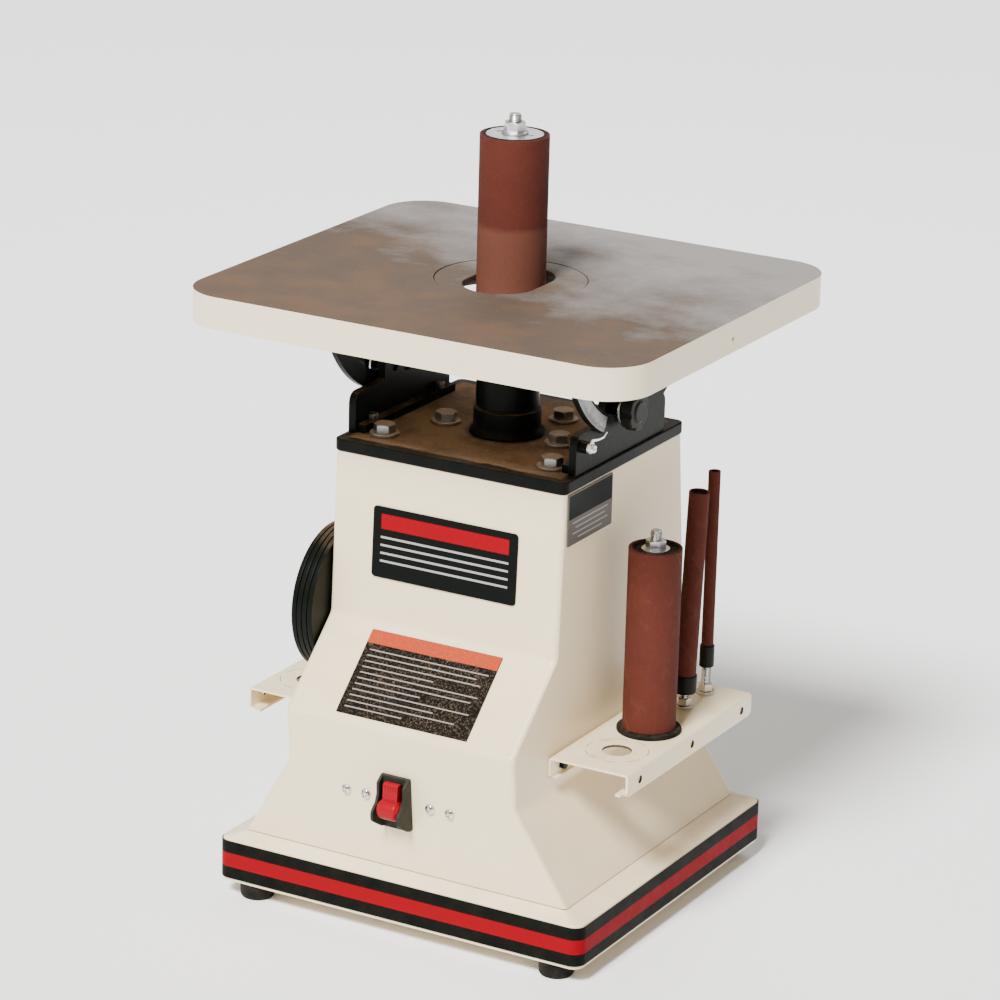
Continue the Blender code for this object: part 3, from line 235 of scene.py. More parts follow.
def ground_iron(name, film_strength=1.0, tone=(0.42, 0.405, 0.40)):
    """Ground cast iron under a film of sawdust, thicker towards the front and the left; the dark brown at
    the near front is partly sawdust and partly painted shadow.
    """
    f = Finish(name, tone, 0.3, 0.9, Specular_IOR_Level=0.12)
    lay = f.noise(26, 3, stretch=(1, 90, 1), turn=(0, 0, 0.12))
    swirls = f.noise(8, 5, roughness=0.6, stretch=(1, 1.6, 1), turn=(0, 0, 0.5))
    drift = f.noise(19, 5, roughness=0.65)
    # Leans the film towards the front and the left: the darker near front is partly real sawdust and partly
    # painted shadow
    lean = f.plus(f.times(f.axis(0), -0.7), f.times(f.axis(1), -1.9))
    film_and_shadow_amount = f.plus(f.times(f.plus(swirls, drift), 0.5), lean)
    film = f.times(f.spread(film_and_shadow_amount, 0.20, 0.56, 0.42, 1.0), film_strength)
    grains = f.patches(1000, 2, 0.60, 0.68)
    piles = f.spread(f.plus(drift, f.times(lean, 0.5)), 0.52, 0.72, 0, 0.8)
    cover = f.plus(f.times(film, 0.94), f.times(grains, 0.12))
    metal = f.mix(f.spread(lay, 0.3, 0.7), tone, (tone[0] * 0.86, tone[1] * 0.85, tone[2] * 0.83))
    dust = f.mix(piles, (0.060, 0.037, 0.022), (0.095, 0.048, 0.021))
    f.set("Base Color", f.mix(cover, metal, dust))
    f.set("Metallic", f.spread(cover, 0, 0.85, 0.9, 0.05))
    f.set("Roughness", f.spread(cover, 0, 0.9, 0.34, 0.66))
    f.bump(f.times(f.noise(650, 3), piles), 0.25 * MM, 0.6)
    f.bump(lay, 0.03 * MM, 0.35)
    f.bump(f.noise(800, 2), 0.03 * MM, 0.3)
    return f.material


def abrasive(name, centre, dusty_below=None, radius=20 * MM, lean=0.0):
    """Oxide grit on a spirally joined cloth sleeve."""
    f = Finish(name, (0.06, 0.014, 0.008), 0.82, Specular_IOR_Level=0.15)
    blotch = f.patches(42, 4, 0.3, 0.7)
    grit = f.cells(1500)
    shade = f.mix(blotch, (0.072, 0.0145, 0.0085), (0.056, 0.0115, 0.007))
    shade = f.mix(f.spread(grit, 0.25, 0.75, 0, 0.3), shade, (0.12, 0.032, 0.020))
    x = f.minus(f.axis(0), centre[0])
    if lean:
        rise = f.minus(f.axis(2), SHELF_TOP)
        x = f.minus(x, f.times(rise, math.tan(lean)))
    y = f.minus(f.axis(1), centre[1])
    around = f.math("DIVIDE", f.math("ARCTAN2", y, x), 2 * math.pi)
    along = f.math("DIVIDE", f.axis(2), 2 * math.pi * radius * 1.5)
    turn = f.math("FRACT", f.plus(around, along))
    joint = f.spread(f.math("ABSOLUTE", f.minus(turn, 0.5)), 0.002, 0.006, 1, 0)
    shade = f.mix(f.times(joint, 0.4), shade, (0.15, 0.06, 0.038))
    if dusty_below is not None:
        edge = f.plus(f.axis(2), f.patches(60, 3, 0, 1, -2.5 * MM, 2.5 * MM))
        used = f.spread(edge, dusty_below - 3 * MM, dusty_below + 2 * MM, 0.28, 0)
        shade = f.mix(used, shade, (0.20, 0.085, 0.055))
    else:
        loose = f.patches(90, 4, 0.55, 0.8, 0, 0.16)
        shade = f.mix(loose, shade, (0.18, 0.075, 0.05))
    f.set("Base Color", shade)
    f.bump(grit, 0.16 * MM, 0.8)
    f.bump(f.noise(2600, 2), 0.1 * MM, 0.6)
    f.bump(joint, 0.1 * MM, 0.6)
    return f.material


def steel(name="zinc_steel", tone=0.62, low=0.24, high=0.42, dull=0.25):
    f = Finish(name, (tone,) * 3, 0.3, 1.0)
    clouds = f.noise(160, 4)
    stain = f.patches(70, 5, 0.5, 0.75, 0, dull)
    shade = f.mix(f.spread(clouds, 0.3, 0.7), (tone, tone, tone * 1.01),
                  (tone * 0.82, tone * 0.81, tone * 0.78))
    f.set("Base Color", f.mix(stain, shade, (0.22, 0.17, 0.12)))
    f.set("Roughness", f.plus(f.spread(clouds, 0.25, 0.75, low, high), f.times(stain, 0.4)))
    f.bump(f.noise(900, 2, stretch=(1, 1, 6)), 0.02 * MM, 0.5)
    return f.material


def dusty_steel():
    """Plated bolts on which sawdust has settled."""
    f = Finish("dusty_bolts", (0.5, 0.5, 0.5), 0.4, 0.9)
    settled = f.times(f.facing_up(0.55, 0.97), f.patches(130, 4, 0.3, 0.6, 0.25, 0.8))
    f.set("Base Color", f.mix(settled, (0.36, 0.35, 0.34), (0.36, 0.22, 0.13)))
    f.set("Metallic", f.spread(settled, 0, 1, 0.95, 0.1))
    f.set("Roughness", f.spread(settled, 0, 1, 0.32, 0.9))
    f.bump(f.noise(800, 3), 0.1 * MM, 0.6)
    return f.material


def moulded(name, colour, roughness=0.5, grain=0.04, dust=0.15, coat=0.0, gloss=0.1):
    """Moulded plastic or rubber with a fine grain and a little settled dust."""
    f = Finish(name, colour, roughness, Specular_IOR_Level=gloss, Coat_Weight=coat, Coat_Roughness=0.12)
    haze = f.times(f.patches(80, 5, 0.35, 0.75), dust)
    settled = f.math("MAXIMUM", haze, f.times(f.facing_up(0.6, 0.98),
                                            f.patches(240, 4, 0.4, 0.7, 0, dust * 2)))
    shade = f.mix(settled, colour, (0.30, 0.22, 0.15))
    edge = tuple(min(1, c * 1.7 + 0.01) for c in colour)
    f.set("Base Color", f.mix(f.times(f.wear(0.6 * MM), 0.3), shade, edge))
    f.set("Roughness", f.plus(f.patches(120, 3, 0.3, 0.7, roughness - 0.05, roughness + 0.07),
                              f.times(settled, 0.35)))
    f.bump(f.noise(1300, 2), grain * MM, 0.6)
    return f.material


def printed(name, colour, specks=0.0, roughness=0.32, metallic=0.0, gloss=0.1):
    """A printed or anodised plate, optionally peppered with sawdust."""
    f = Finish(name, colour, roughness, metallic, Specular_IOR_Level=gloss)
    grains = f.spread(f.noise(750, 3, roughness=0.7), 0.52, 0.60)
    drift = f.patches(35, 4, 0.3, 0.6, 0.35, 1)
    cover = f.times(f.times(grains, drift), specks)
    faded = f.mix(f.patches(20, 3, 0.3, 0.7, 0, 0.25), colour, tuple(c * 0.8 for c in colour))
    f.set("Base Color", f.mix(cover, faded, (0.22, 0.15, 0.10)))
    f.set("Roughness", f.spread(cover, 0, 1, roughness, 0.9))
    f.bump(f.plus(f.noise(400, 2), f.times(cover, 2)), 0.03 * MM, 0.5)
    return f.material


CREAM = cream_paint()
CREAM_CAST = cream_paint("cream_on_casting", 0.2, (0.78, 0.68, 0.475))
BLACK = black_enamel(plate=size_of("top_plate"), grain=0.2)
BLACK_CLEAN = black_enamel("black_enamel_sheltered", 0.35, 0.18)
IRON = ground_iron("ground_table_top")
INSERT_IRON = ground_iron("ground_insert", 0.98, (0.38, 0.37, 0.36))
STEEL = steel()
DARK_STEEL = steel("oiled_steel", 0.36, 0.3, 0.5, 0.35)
DUSTY_STEEL = dusty_steel()
BRIGHT = steel("bright_screws", 0.78, 0.10, 0.2, 0.05)
DISC = steel("faced_washer", 0.80, 0.28, 0.42, 0.08)
SCALE = steel("scale_metal", 0.30, 0.35, 0.5, 0.3)
RUBBER = moulded("black_rubber", (0.0035, 0.004, 0.003), 0.72, 0.08, 0.06)
PLASTIC = moulded("black_plastic", (0.003, 0.004, 0.003), 0.42, 0.04, 0.04)
GUARD = moulded("switch_black", (0.013, 0.016, 0.013), 0.5, 0.05, 0.05)
RED = moulded("paddle_red", (0.235, 0.0005, 0.0065), 0.36, 0.02, 0.005, 0.06, 0.08)
TAPE_BLACK = moulded("tape_black", (0.003, 0.004, 0.003), 0.45, 0.015, 0.015, 0.0, 0.03)
TAPE_RED = moulded("tape_red", (0.20, 0.0003, 0.0055), 0.45, 0.015, 0.005, 0.0, 0.03)
PLATE_BLACK = printed("badge_black", (0.003, 0.004, 0.003), gloss=0.05)
PLATE_RED = printed("badge_red", (0.225, 0.0003, 0.0065), gloss=0.03)
PLATE_GREY = printed("badge_grey", (0.30, 0.29, 0.275), 0, 0.4)
NOTICE_BLACK = printed("notice_black", (0.005, 0.005, 0.004), 0.35, gloss=0.05)
NOTICE_ORANGE = printed("notice_orange", (0.36, 0.043, 0.014), 0.3)
NOTICE_LINE = printed("notice_line", (0.26, 0.23, 0.21), 0.5)
DATA_GREY = printed("data_grey", (0.115, 0.10, 0.09), 0.15, 0.4, 0.5)
BRONZE = steel("bronze", 0.5, 0.3, 0.45, 0.2)
CORE_IRON = steel("lamination_iron", 0.3, 0.45, 0.6, 0.3)


# ---------------------------------------------------------------- shape helpers
def fillet(points, closed=False, steps=5):
    """Rounds a polyline's corners. A point may carry a radius as its third value."""
    result = []
    count = len(points)
    for i, point in enumerate(points):
        here = Vector(point[:2])
        if len(point) < 3 or (not closed and i in (0, count - 1)):
            result.append(here)
            continue
        before = Vector(points[i - 1][:2]) - here
        after = Vector(points[(i + 1) % count][:2]) - here
        half = before.angle(after) / 2
        reach = min(point[2] / math.tan(half), before.length * 0.49, after.length * 0.49)
        a, b = here + before.normalized() * reach, here + after.normalized() * reach
        for k in range(steps + 1):
            t = k / steps
            result.append(a * (1 - t) ** 2 + here * 2 * t * (1 - t) + b * t * t)
    return result


def arc(cx, cy, radius, start, end, steps):
    """Points on an arc, angles in radians."""
    turn = (end - start) / steps
    return [(cx + radius * math.cos(start + turn * i), cy + radius * math.sin(start + turn * i))
            for i in range(steps + 1)]


def rounded_rect(width, height, corner, steps=6, centre=(0, 0)):
    points = []
    for sx, sy, start in ((1, 1, 0), (-1, 1, 90), (-1, -1, 180), (1, -1, 270)):
        cx, cy = centre[0] + sx * (width / 2 - corner), centre[1] + sy * (height / 2 - corner)
        points += arc(cx, cy, corner, math.radians(start), math.radians(start + 90), steps)
    return points


def lathe(profile, steps=96, closed=False, round_steps=5):
    """Turns a profile of (radius, height[, fillet]) points about Z."""
    bm = bmesh.new()
    rings = []
    for r, z in fillet(profile, closed, round_steps):
        if r < 1e-7:
            rings.append([bm.verts.new((0, 0, z))])
        else:
            rings.append([bm.verts.new((r * math.cos(2 * math.pi * k / steps),
                                        r * math.sin(2 * math.pi * k / steps), z)) for k in range(steps)])
    pairs = list(zip(rings, rings[1:])) + ([(rings[-1], rings[0])] if closed else [])
    for a, b in pairs:
        for k in range(steps):
            m = (k + 1) % steps
            corners = [a[k % len(a)], a[m % len(a)], b[m % len(b)], b[k % len(b)]]
            corners = list(dict.fromkeys(corners))
            if len(corners) > 2:
                bm.faces.new(corners)
    bmesh.ops.recalc_face_normals(bm, faces=bm.faces)
    return bm


def ring(inner, outer, low, high, top=0.3 * MM, bottom=0.3 * MM, steps=64):
    """A washer or tube whose outer rims are rounded; without a bore it is a disc."""
    foot = (outer, low, bottom) if bottom else (outer, low)
    return lathe([(inner, high), (outer, high, top), foot, (inner, low)], steps, closed=inner > 0)


def prism(points, start, end, edge=0.0, segments=3):
    """A closed outline of (x, y) points extruded along Z, with its two rims rounded."""
    bm = bmesh.new()
    low, high = ([bm.verts.new((x, y, z)) for x, y in points] for z in (start, end))
    bm.faces.new(high)
    bm.faces.new(list(reversed(low)))
    for i in range(len(points)):
        j = (i + 1) % len(points)
        bm.faces.new((low[i], low[j], high[j], high[i]))
    bmesh.ops.recalc_face_normals(bm, faces=bm.faces)
    if edge:
        rims = [e for e in bm.edges if abs(e.verts[0].co.z - e.verts[1].co.z) < 1e-9]
        bmesh.ops.bevel(bm, geom=rims, offset=edge, segments=segments, profile=0.5, affect="EDGES")
    return bm


def block(size, centre=(0, 0, 0), edge=0.0, segments=3):
    bm = bmesh.new()
    bmesh.ops.create_cube(bm, size=1)
    bmesh.ops.scale(bm, vec=size, verts=bm.verts)
    if edge:
        bmesh.ops.bevel(bm, geom=bm.edges[:], offset=edge, segments=segments, profile=0.5, affect="EDGES")
    bmesh.ops.translate(bm, vec=centre, verts=bm.verts)
    return bm


def drill(radius, start, end, centre=(0, 0, 0), axis="Z", steps=40):
    """A plain rod from `start` to `end` along an axis, mostly to cut with."""
    bm = prism(arc(0, 0, radius, 0, 2 * math.pi * (steps - 1) / steps, steps - 1), start, end)
    return moved(bm, Matrix.Translation(centre) @ ALONG[axis])


def moved(bm, matrix):
    bmesh.ops.transform(bm, matrix=matrix, verts=bm.verts)
    if matrix.determinant() < 0:
        bmesh.ops.reverse_faces(bm, faces=bm.faces)
    return bm


def temporary(bm):
    mesh = bpy.data.meshes.new("temporary")
    bm.to_mesh(mesh)
    bm.free()
    obj = bpy.data.objects.new("temporary", mesh)
    bpy.context.scene.collection.objects.link(obj)
    return obj


def evaluated(obj, *others):
    """The object's mesh with its modifiers applied; it and the others are then removed."""
    bpy.context.view_layer.update()
    graph = bpy.context.evaluated_depsgraph_get()
    mesh = bpy.data.meshes.new_from_object(obj.evaluated_get(graph))
    bm = bmesh.new()
    bm.from_mesh(mesh)
    bpy.data.meshes.remove(mesh)
    for item in (obj, *others):
        bpy.data.objects.remove(item)
    return bm


def cut(bm, *tools, operation="DIFFERENCE"):
    target = temporary(bm)
    helpers = [temporary(tool) for tool in tools]
    for helper in helpers:
        modifier = target.modifiers.new("cut", "BOOLEAN")
        modifier.object = helper
        modifier.operation = operation
        modifier.solver = "EXACT"
    return evaluated(target, *helpers)


def joined(bm, *tools):
    return cut(bm, *tools, operation="UNION")


def softened(bm, width, segments=3, angle=35):
    """Rounds every edge sharper than the angle."""
    target = temporary(bm)
    modifier = target.modifiers.new("edges", "BEVEL")
    modifier.width = width
    modifier.segments = segments
    modifier.limit_method = "ANGLE"
    modifier.angle_limit = math.radians(angle)
    modifier.use_clamp_overlap = True
    return evaluated(target)


def thickened(bm, thickness):
    """Sheet metal from an open surface, thickened away from the side its faces show."""
    target = temporary(bm)
    modifier = target.modifiers.new("sheet", "SOLIDIFY")
    modifier.thickness = thickness
    modifier.offset = -1
    modifier.use_even_offset = True
    return evaluated(target)


def gathered(*shapes):
    """Several separate shapes as one mesh, without joining them."""
    whole = bmesh.new()
    for shape in shapes:
        mesh = bpy.data.meshes.new("part")
        shape.to_mesh(mesh)
        shape.free()
        whole.from_mesh(mesh)
        bpy.data.meshes.remove(mesh)
    return whole


def piece(name, bm, finish, body, replaced=(), smooth=32, paint=None):
    """Makes a visible piece that rides on a body. `paint` picks a face's finish from several."""
    finishes = finish if isinstance(finish, (list, tuple)) else [finish]
    if paint:
        for face in bm.faces:
            face.material_index = paint(face)
    mesh = bpy.data.meshes.new(name)
    bm.to_mesh(mesh)
    bm.free()
    for item in finishes:
        mesh.materials.append(item)
    obj = bpy.data.objects.new(name, mesh)
    bpy.context.scene.collection.objects.link(obj)
    mesh.shade_smooth()
    mesh.set_sharp_from_angle(angle=math.radians(smooth))
    modifier = obj.modifiers.new("normals", "WEIGHTED_NORMAL")
    modifier.keep_sharp = True
    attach(obj, body)
    if replaced:
        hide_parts(*([replaced] if isinstance(replaced, str) else replaced))
    return obj


def hexagon(across, start, end, chamfer=0.8 * MM, turn=0.0):
    """A hexagon nut or bolt head whose top corners are turned down."""
    corner = across / math.sqrt(3)
    points = [(corner * math.cos(turn + math.pi * k / 3), corner * math.sin(turn + math.pi * k / 3))
              for k in range(6)]
    body = prism(points, start, end)
    dome = lathe([(0, end), (across / 2 - 0.3 * MM, end), (corner + 0.4 * MM, end - chamfer * 1.4),
                  (corner + 0.4 * MM, start), (0, start)], 64)
    shaped = cut(body, dome, operation="INTERSECT")
    return softened(shaped, 0.25 * MM, 2, 25)


def thread(radius, start, end, pitch=1.25 * MM, depth=0.55 * MM, steps=32):
    """A threaded stud, made as a helix of grooves round a core with a chamfered end."""
    profile_steps = 4
    bm = bmesh.new()
    turns = max(2, int((end - start) / pitch))
    columns = turns * profile_steps
    rings = []
    for i in range(columns + 1):
        ring = []
        for k in range(steps):
            angle = 2 * math.pi * k / steps
            phase = i / profile_steps - k / steps
            ridge = abs((phase % 1) - 0.5) * 2
            taper = min(1, (columns - i) / (profile_steps * 1.0))
            r = radius - depth * (1 - ridge) - 0.6 * MM * (1 - taper)
            ring.append(bm.verts.new((r * math.cos(angle), r * math.sin(angle),
                                      start + (end - start) * i / columns)))
        rings.append(ring)
    for a, b in zip(rings, rings[1:]):
        for k in range(steps):
            m = (k + 1) % steps
            bm.faces.new((a[k], a[m], b[m], b[k]))
    bm.faces.new(rings[-1])
    bm.faces.new(list(reversed(rings[0])))
    bmesh.ops.recalc_face_normals(bm, faces=bm.faces)
    return bm


# ---------------------------------------------------------------- table and its tilt
TABLE_LOW, TABLE_HIGH, _ = size_of("table_top")
TABLE_TOP = TABLE_HIGH.z
INSERT_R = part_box("table_insert")[1].x
TABLE_CORNER, TABLE_RIM, TABLE_WEB, THROAT_R = 36 * MM, 8 * MM, 10 * MM, 50 * MM


def make_table():
    width, depth, low = 2 * TABLE_HIGH.x, 2 * TABLE_HIGH.y, TABLE_LOW.z
    underside = TABLE_TOP - TABLE_WEB
    slab = prism(rounded_rect(width, depth, TABLE_CORNER, 20), low, TABLE_TOP)
    pocket = prism(rounded_rect(width - 2 * TABLE_RIM, depth - 2 * TABLE_RIM, TABLE_CORNER - TABLE_RIM, 14),
                   low - 5 * MM, underside)
    slab = cut(slab, pocket)
    ribs = [drill(THROAT_R + 12 * MM, underside - 7 * MM, underside + 1 * MM, steps=72)]
    for angle in (65, 115, 245, 295):
        rib = block((120 * MM, 5 * MM, 8 * MM), (THROAT_R + 66 * MM, 0, underside - 3 * MM))
        ribs.append(moved(rib, spun(angle, "Z")))
    slab = joined(slab, *ribs)
    seat = TABLE_TOP - 5.6 * MM
    slab = cut(slab, drill(THROAT_R, low - 5 * MM, TABLE_TOP + 5 * MM, steps=96),
               drill(INSERT_R + 0.5 * MM, seat, TABLE_TOP + 5 * MM, steps=96),
               drill(1.6 * MM, width / 2 - 12 * MM, width / 2 + 5 * MM,
                     (0, -5 * MM, TABLE_TOP - 14 * MM), "X", 20))
    slab = softened(slab, 0.8 * MM, 3, 40)

    def ground(face):
        middle = face.calc_center_median()
        on_top = face.normal.z > 0.6 and middle.z > TABLE_TOP - 0.6 * MM
        in_throat = middle.xy.length < INSERT_R + 1 * MM and face.normal.z > -0.6
        return 0 if on_top or in_throat else 1

    piece("ground_table", slab, [IRON, CREAM_CAST], "table", "table_top", paint=ground)

    low, high, _ = size_of("table_insert")
    disc = drill(INSERT_R, low.z, high.z, steps=96)
    half_w, front, rear = 27.5 * MM, -43.5 * MM, 37.5 * MM
    slot = arc(0, rear - half_w, half_w, 0, math.pi, 24) + arc(0, front + half_w, half_w, math.pi,
                                                               2 * math.pi, 24)
    disc = cut(disc, prism(slot, low.z - 5 * MM, high.z + 5 * MM))
    disc = softened(disc, 0.7 * MM, 3, 40)
    piece("slotted_insert", disc, INSERT_IRON, "table", "table_insert")


def half_moon(radius, top, x0, x1):
    start = math.asin((top - TABLE_TOP) / radius)
    rim = arc(0, TABLE_TOP, radius, math.pi - start, 2 * math.pi + start, 64)
    return moved(prism(rim, x0, x1), SIDEWAYS)


def band(inner, outer, start, end, x0, x1, steps=40, edge=0.0):
    """A flat sector about the tilt axis; its angles run from straight down towards the front."""
    down = -math.pi / 2
    points = arc(0, TABLE_TOP, inner, down - start, down - end, steps)
    points += arc(0, TABLE_TOP, outer, down - end, down - start, steps)
    return moved(prism(points, x0, x1, edge, 2), SIDEWAYS)


LOCK_R, LOCK_ANGLE = 79 * MM, math.radians(-9.5)
POINTER_Y, POINTER_Z = -61 * MM, 373 * MM


def make_trunnions():
    low, high, _ = size_of("trunnion_right")
    outer = high.x
    plate_x, top = outer - 4 * MM, high.z
    slot_from, slot_to = -LOCK_ANGLE - math.radians(5), -LOCK_ANGLE + math.radians(50)
    for side, mirror in SIDES:
        body = joined(half_moon(TABLE_TOP - low.z, top, plate_x, outer),
                      block((15.5 * MM, 120 * MM, 8 * MM), (plate_x - 6.75 * MM, 0, top - 4 * MM)))
        ends = [drill(4.6 * MM, outer - 20 * MM, outer + 5 * MM,
                      (0, LOCK_R * math.cos(a), TABLE_TOP + LOCK_R * math.sin(a)), "X", 32)
                for a in (-math.pi / 2 - slot_from, -math.pi / 2 - slot_to)]
        body = cut(body, band(LOCK_R - 4.6 * MM, LOCK_R + 4.6 * MM, slot_from, slot_to, outer - 20 * MM,
                              outer + 5 * MM), *ends)
        body = softened(body, 0.9 * MM, 3, 40)
        piece("cast_trunnion_" + side, moved(body, mirror), BLACK_CLEAN, "table",
              "trunnion_" + side)

    low, high, _ = size_of("degree_scale")
    inner, outer = 86 * MM, 97.5 * MM
    first, last = math.radians(25), math.radians(70)
    body = band(inner, outer, first, last, low.x, high.x - 0.05 * MM, 60, 0.2 * MM)
    piece("tilt_scale", body, SCALE, "table", "degree_scale")
    marks = []
    for i in range(46):
        angle = first + (last - first) * (i + 0.5) / 46
        reach = 5.0 * MM if i % 5 == 2 else 3.0 * MM
        half = 0.16 * MM / outer
        marks.append(band(outer - 0.6 * MM - reach, outer - 0.6 * MM, angle - half, angle + half,
                          high.x - 0.1 * MM, high.x + 0.03 * MM, 1))
    piece("scale_graduations", gathered(*marks), PLATE_BLACK, "table")


def make_brackets():
    low, high, _ = size_of("bracket_right")
    x0, x1 = 89 * MM, 95 * MM
    shoulder = low.z + 30 * MM
    half = high.y
    stud_y, stud_z = LOCK_R * math.sin(LOCK_ANGLE), TABLE_TOP - LOCK_R * math.cos(LOCK_ANGLE)
    boss = 14 * MM
    for side, mirror in SIDES:
        points = fillet([(-half, low.z), (half, low.z), (half, shoulder, 9 * MM),
                         (stud_y + boss + 4 * MM, shoulder, 4 * MM), (stud_y + boss, shoulder + 1 * MM)],
                        steps=6)
        points += arc(stud_y, stud_z, boss, 0, math.pi, 24)[:-1]
        points += fillet([(stud_y - boss, shoulder + 1 * MM), (stud_y - boss - 4 * MM, shoulder, 4 * MM),
                          (-half, shoulder, 9 * MM), (-half, low.z)], steps=6)[:-1]
        body = moved(prism(points, x0, x1), SIDEWAYS)
        foot = block((9 * MM, 2 * half - 6 * MM, 6 * MM), (x0 - 2.5 * MM, 0, low.z + 3 * MM))
        body = joined(body, foot)
        if side == "right":
            body = joined(body, drill(4.5 * MM, x1 - 2 * MM, high.x, (0, POINTER_Y, POINTER_Z), "X", 36))
        body = cut(body, drill(4.5 * MM, 70 * MM, 110 * MM, (0, stud_y, stud_z), "X", 36))
        body = softened(body, 1.1 * MM, 3, 40)
        piece("cast_bracket_" + side, moved(body, mirror), BLACK_CLEAN, "cabinet",
              "bracket_" + side)
        screws = [moved(hexagon(7 * MM, 0, 4.5 * MM), at(x0 - 3.3 * MM, y, low.z + 6.2 * MM))
                  for y in (-48 * MM, 48 * MM)]
        piece("bracket_screws_" + side, moved(gathered(*screws), mirror), DARK_STEEL, "cabinet")


def make_pointer():
    low, high, _ = size_of("scale_pointer")
    y, z = POINTER_Y, POINTER_Z
    hook = fillet(mm((-3.4, -3.4, 3), (3.4, -3.4, 3), (3.4, 2, 2),
                   (1, 4.8, 1), (9, 3.6, 4), (17, 3.4, 4),
                   (22, 6.4), (21.4, 7.2), (16.5, 4.9, 4),
                   (9, 5.2, 4), (-1, 7.2, 2), (-3.4, 3, 3)), closed=True)
    sheet_x = low.x + 2.1 * MM
    sheet = moved(prism([(p.x + y, p.y + z) for p in hook], sheet_x, sheet_x + 0.9 * MM, 0.2 * MM, 2),
                  SIDEWAYS)
    washer = ring(0, 4 * MM, low.x, sheet_x, steps=48)
    head = lathe([(0, high.x), (2.6 * MM, high.x, 0.8 * MM), (3.6 * MM, sheet_x + 1.2 * MM, 0.3 * MM),
                  (3.6 * MM, sheet_x + 1.1 * MM), (0, sheet_x + 1.1 * MM)], 48)
    head = cut(head, block((0.9 * MM, 9 * MM, 1.6 * MM), (0, 0, high.x)))
    place = at(0, y, z) @ ALONG["X"]
    piece("hooked_pointer", gathered(sheet, moved(washer, place), moved(head, place)), DISC, "cabinet",
          "scale_pointer")


def make_lock_knobs():
    y, z = LOCK_R * math.sin(LOCK_ANGLE), TABLE_TOP - LOCK_R * math.cos(LOCK_ANGLE)
    low, high, _ = size_of("lock_knob_right")
    outer = high.x
    radius, hub = 14 * MM, outer - 12 * MM
    lobes, steps = 6, 96
    outline = []
    for k in range(steps):
        angle = 2 * math.pi * k / steps
        dip = max(0, math.cos(lobes * (angle - math.radians(30)))) ** 3
        r = radius - 2.2 * MM * dip
        outline.append((r * math.cos(angle), r * math.sin(angle)))
    for side, mirror in SIDES:
        grip = softened(prism(outline, hub + 2 * MM, outer - 1 * MM), 1.8 * MM, 4, 50)
        crown = lathe([(0, outer), (7 * MM, outer, 0.8 * MM), (9.5 * MM, outer - 1.4 * MM, 0.8 * MM),
                       (9.5 * MM, outer - 4 * MM), (0, outer - 4 * MM)], 72)
        neck = lathe([(0, hub + 4 * MM), (9 * MM, hub + 4 * MM), (8 * MM, hub, 0.8 * MM), (4 * MM, hub),
                      (4 * MM, low.x), (0, low.x)], 48)
        knob = gathered(grip, crown, neck)
        place = mirror @ at(0, y, z) @ ALONG["X"]
        piece("lobed_knob_" + side, moved(knob, place), PLASTIC, "lock_knob_" + side,
              "lock_knob_" + side)
        washer = ring(4.2 * MM, 11 * MM, hub - 1.6 * MM, hub)
        piece("knob_washer_" + side, moved(washer, place), STEEL, "lock_knob_" + side)


# ---------------------------------------------------------------- top plate, housing and bolts
PLATE_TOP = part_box("top_plate")[1].z


def make_top_plate():
    low, high, mid = size_of("top_plate")
    outline = rounded_rect(high.x - low.x, high.y - low.y, 6 * MM, 10, (mid.x, mid.y))
    body = prism(outline, low.z, high.z)
    body = cut(body, drill(17 * MM, low.z - 5 * MM, high.z + 5 * MM, steps=64))
    body = softened(body, 1.8 * MM, 4, 40)
    piece("cast_top_plate", body, BLACK, "cabinet", "top_plate")

    low, high, _ = size_of("spindle_housing")
    bore, lower, upper = 16.5 * MM, 25 * MM, 23.5 * MM
    seam = PLATE_TOP + 20 * MM
    profile = [(bore, high.z, 0.6 * MM), (upper, high.z, 2 * MM), (upper, seam + 1 * MM, 0.8 * MM),
               (upper - 1.2 * MM, seam + 0.4 * MM), (upper - 1.2 * MM, seam - 0.4 * MM),
               (lower, seam - 1 * MM, 0.8 * MM), (lower, low.z + 5 * MM, 3 * MM),
               (lower + 3 * MM, low.z + 1 * MM, 0.8 * MM), (lower + 3 * MM, low.z), (bore, low.z)]
    piece("turned_housing", lathe(profile, 96, closed=True), BLACK_CLEAN, "cabinet",
          "spindle_housing")


def make_plate_bolts():
    for i in range(1, 4):
        low, high, mid = size_of(f"plate_bolt_{i}")
        for side in (1, -1):
            washer = ring(3 * MM, 11 * MM, low.z, low.z + 1.9 * MM, top=0.5 * MM, steps=72)
            spring = ring(3 * MM, 7.6 * MM, low.z + 1.9 * MM, low.z + 3.2 * MM, bottom=0, steps=48)
            head = hexagon(14.6 * MM, low.z + 3.2 * MM, high.z, 0.9 * MM, 0.35 * i)
            body = moved(gathered(washer, spring, head), at(side * mid.x, mid.y, 0))
            name = f"hex_bolt_{i}" + ("" if side > 0 else "_mirrored")
            piece(name, body, DUSTY_STEEL, "cabinet", f"plate_bolt_{i}" if side > 0 else ())


# ---------------------------------------------------------------- cabinet and base
SHELL_LOW, SHELL_HIGH, _ = size_of("cabinet_shell")
BEND = 4 * MM
FLARE_Z = 121 * MM
SLOPE_LOW_Z, SLOPE_HIGH_Z = 162 * MM, 218.5 * MM
SLOPE_HIGH_Y, TOP_FRONT_Y = -90 * MM, -84.6 * MM
SEAM_FRONT_Y, SEAM_REAR_Y, TOP_REAR_Y = -138 * MM, SHELL_HIGH.y, 96 * MM
SLOPE_LOW_Y = SHELL_LOW.y
SEAM_HALF_W, BOX_HALF_W = SHELL_HIGH.x, 95.7 * MM
SEAM_Z, CABINET_TOP = SHELL_LOW.z, SHELL_HIGH.z
FRONT_KNOTS = ((SEAM_Z, SEAM_FRONT_Y), (SLOPE_LOW_Z, SLOPE_LOW_Y), (SLOPE_HIGH_Z, SLOPE_HIGH_Y),
               (CABINET_TOP, TOP_FRONT_Y))
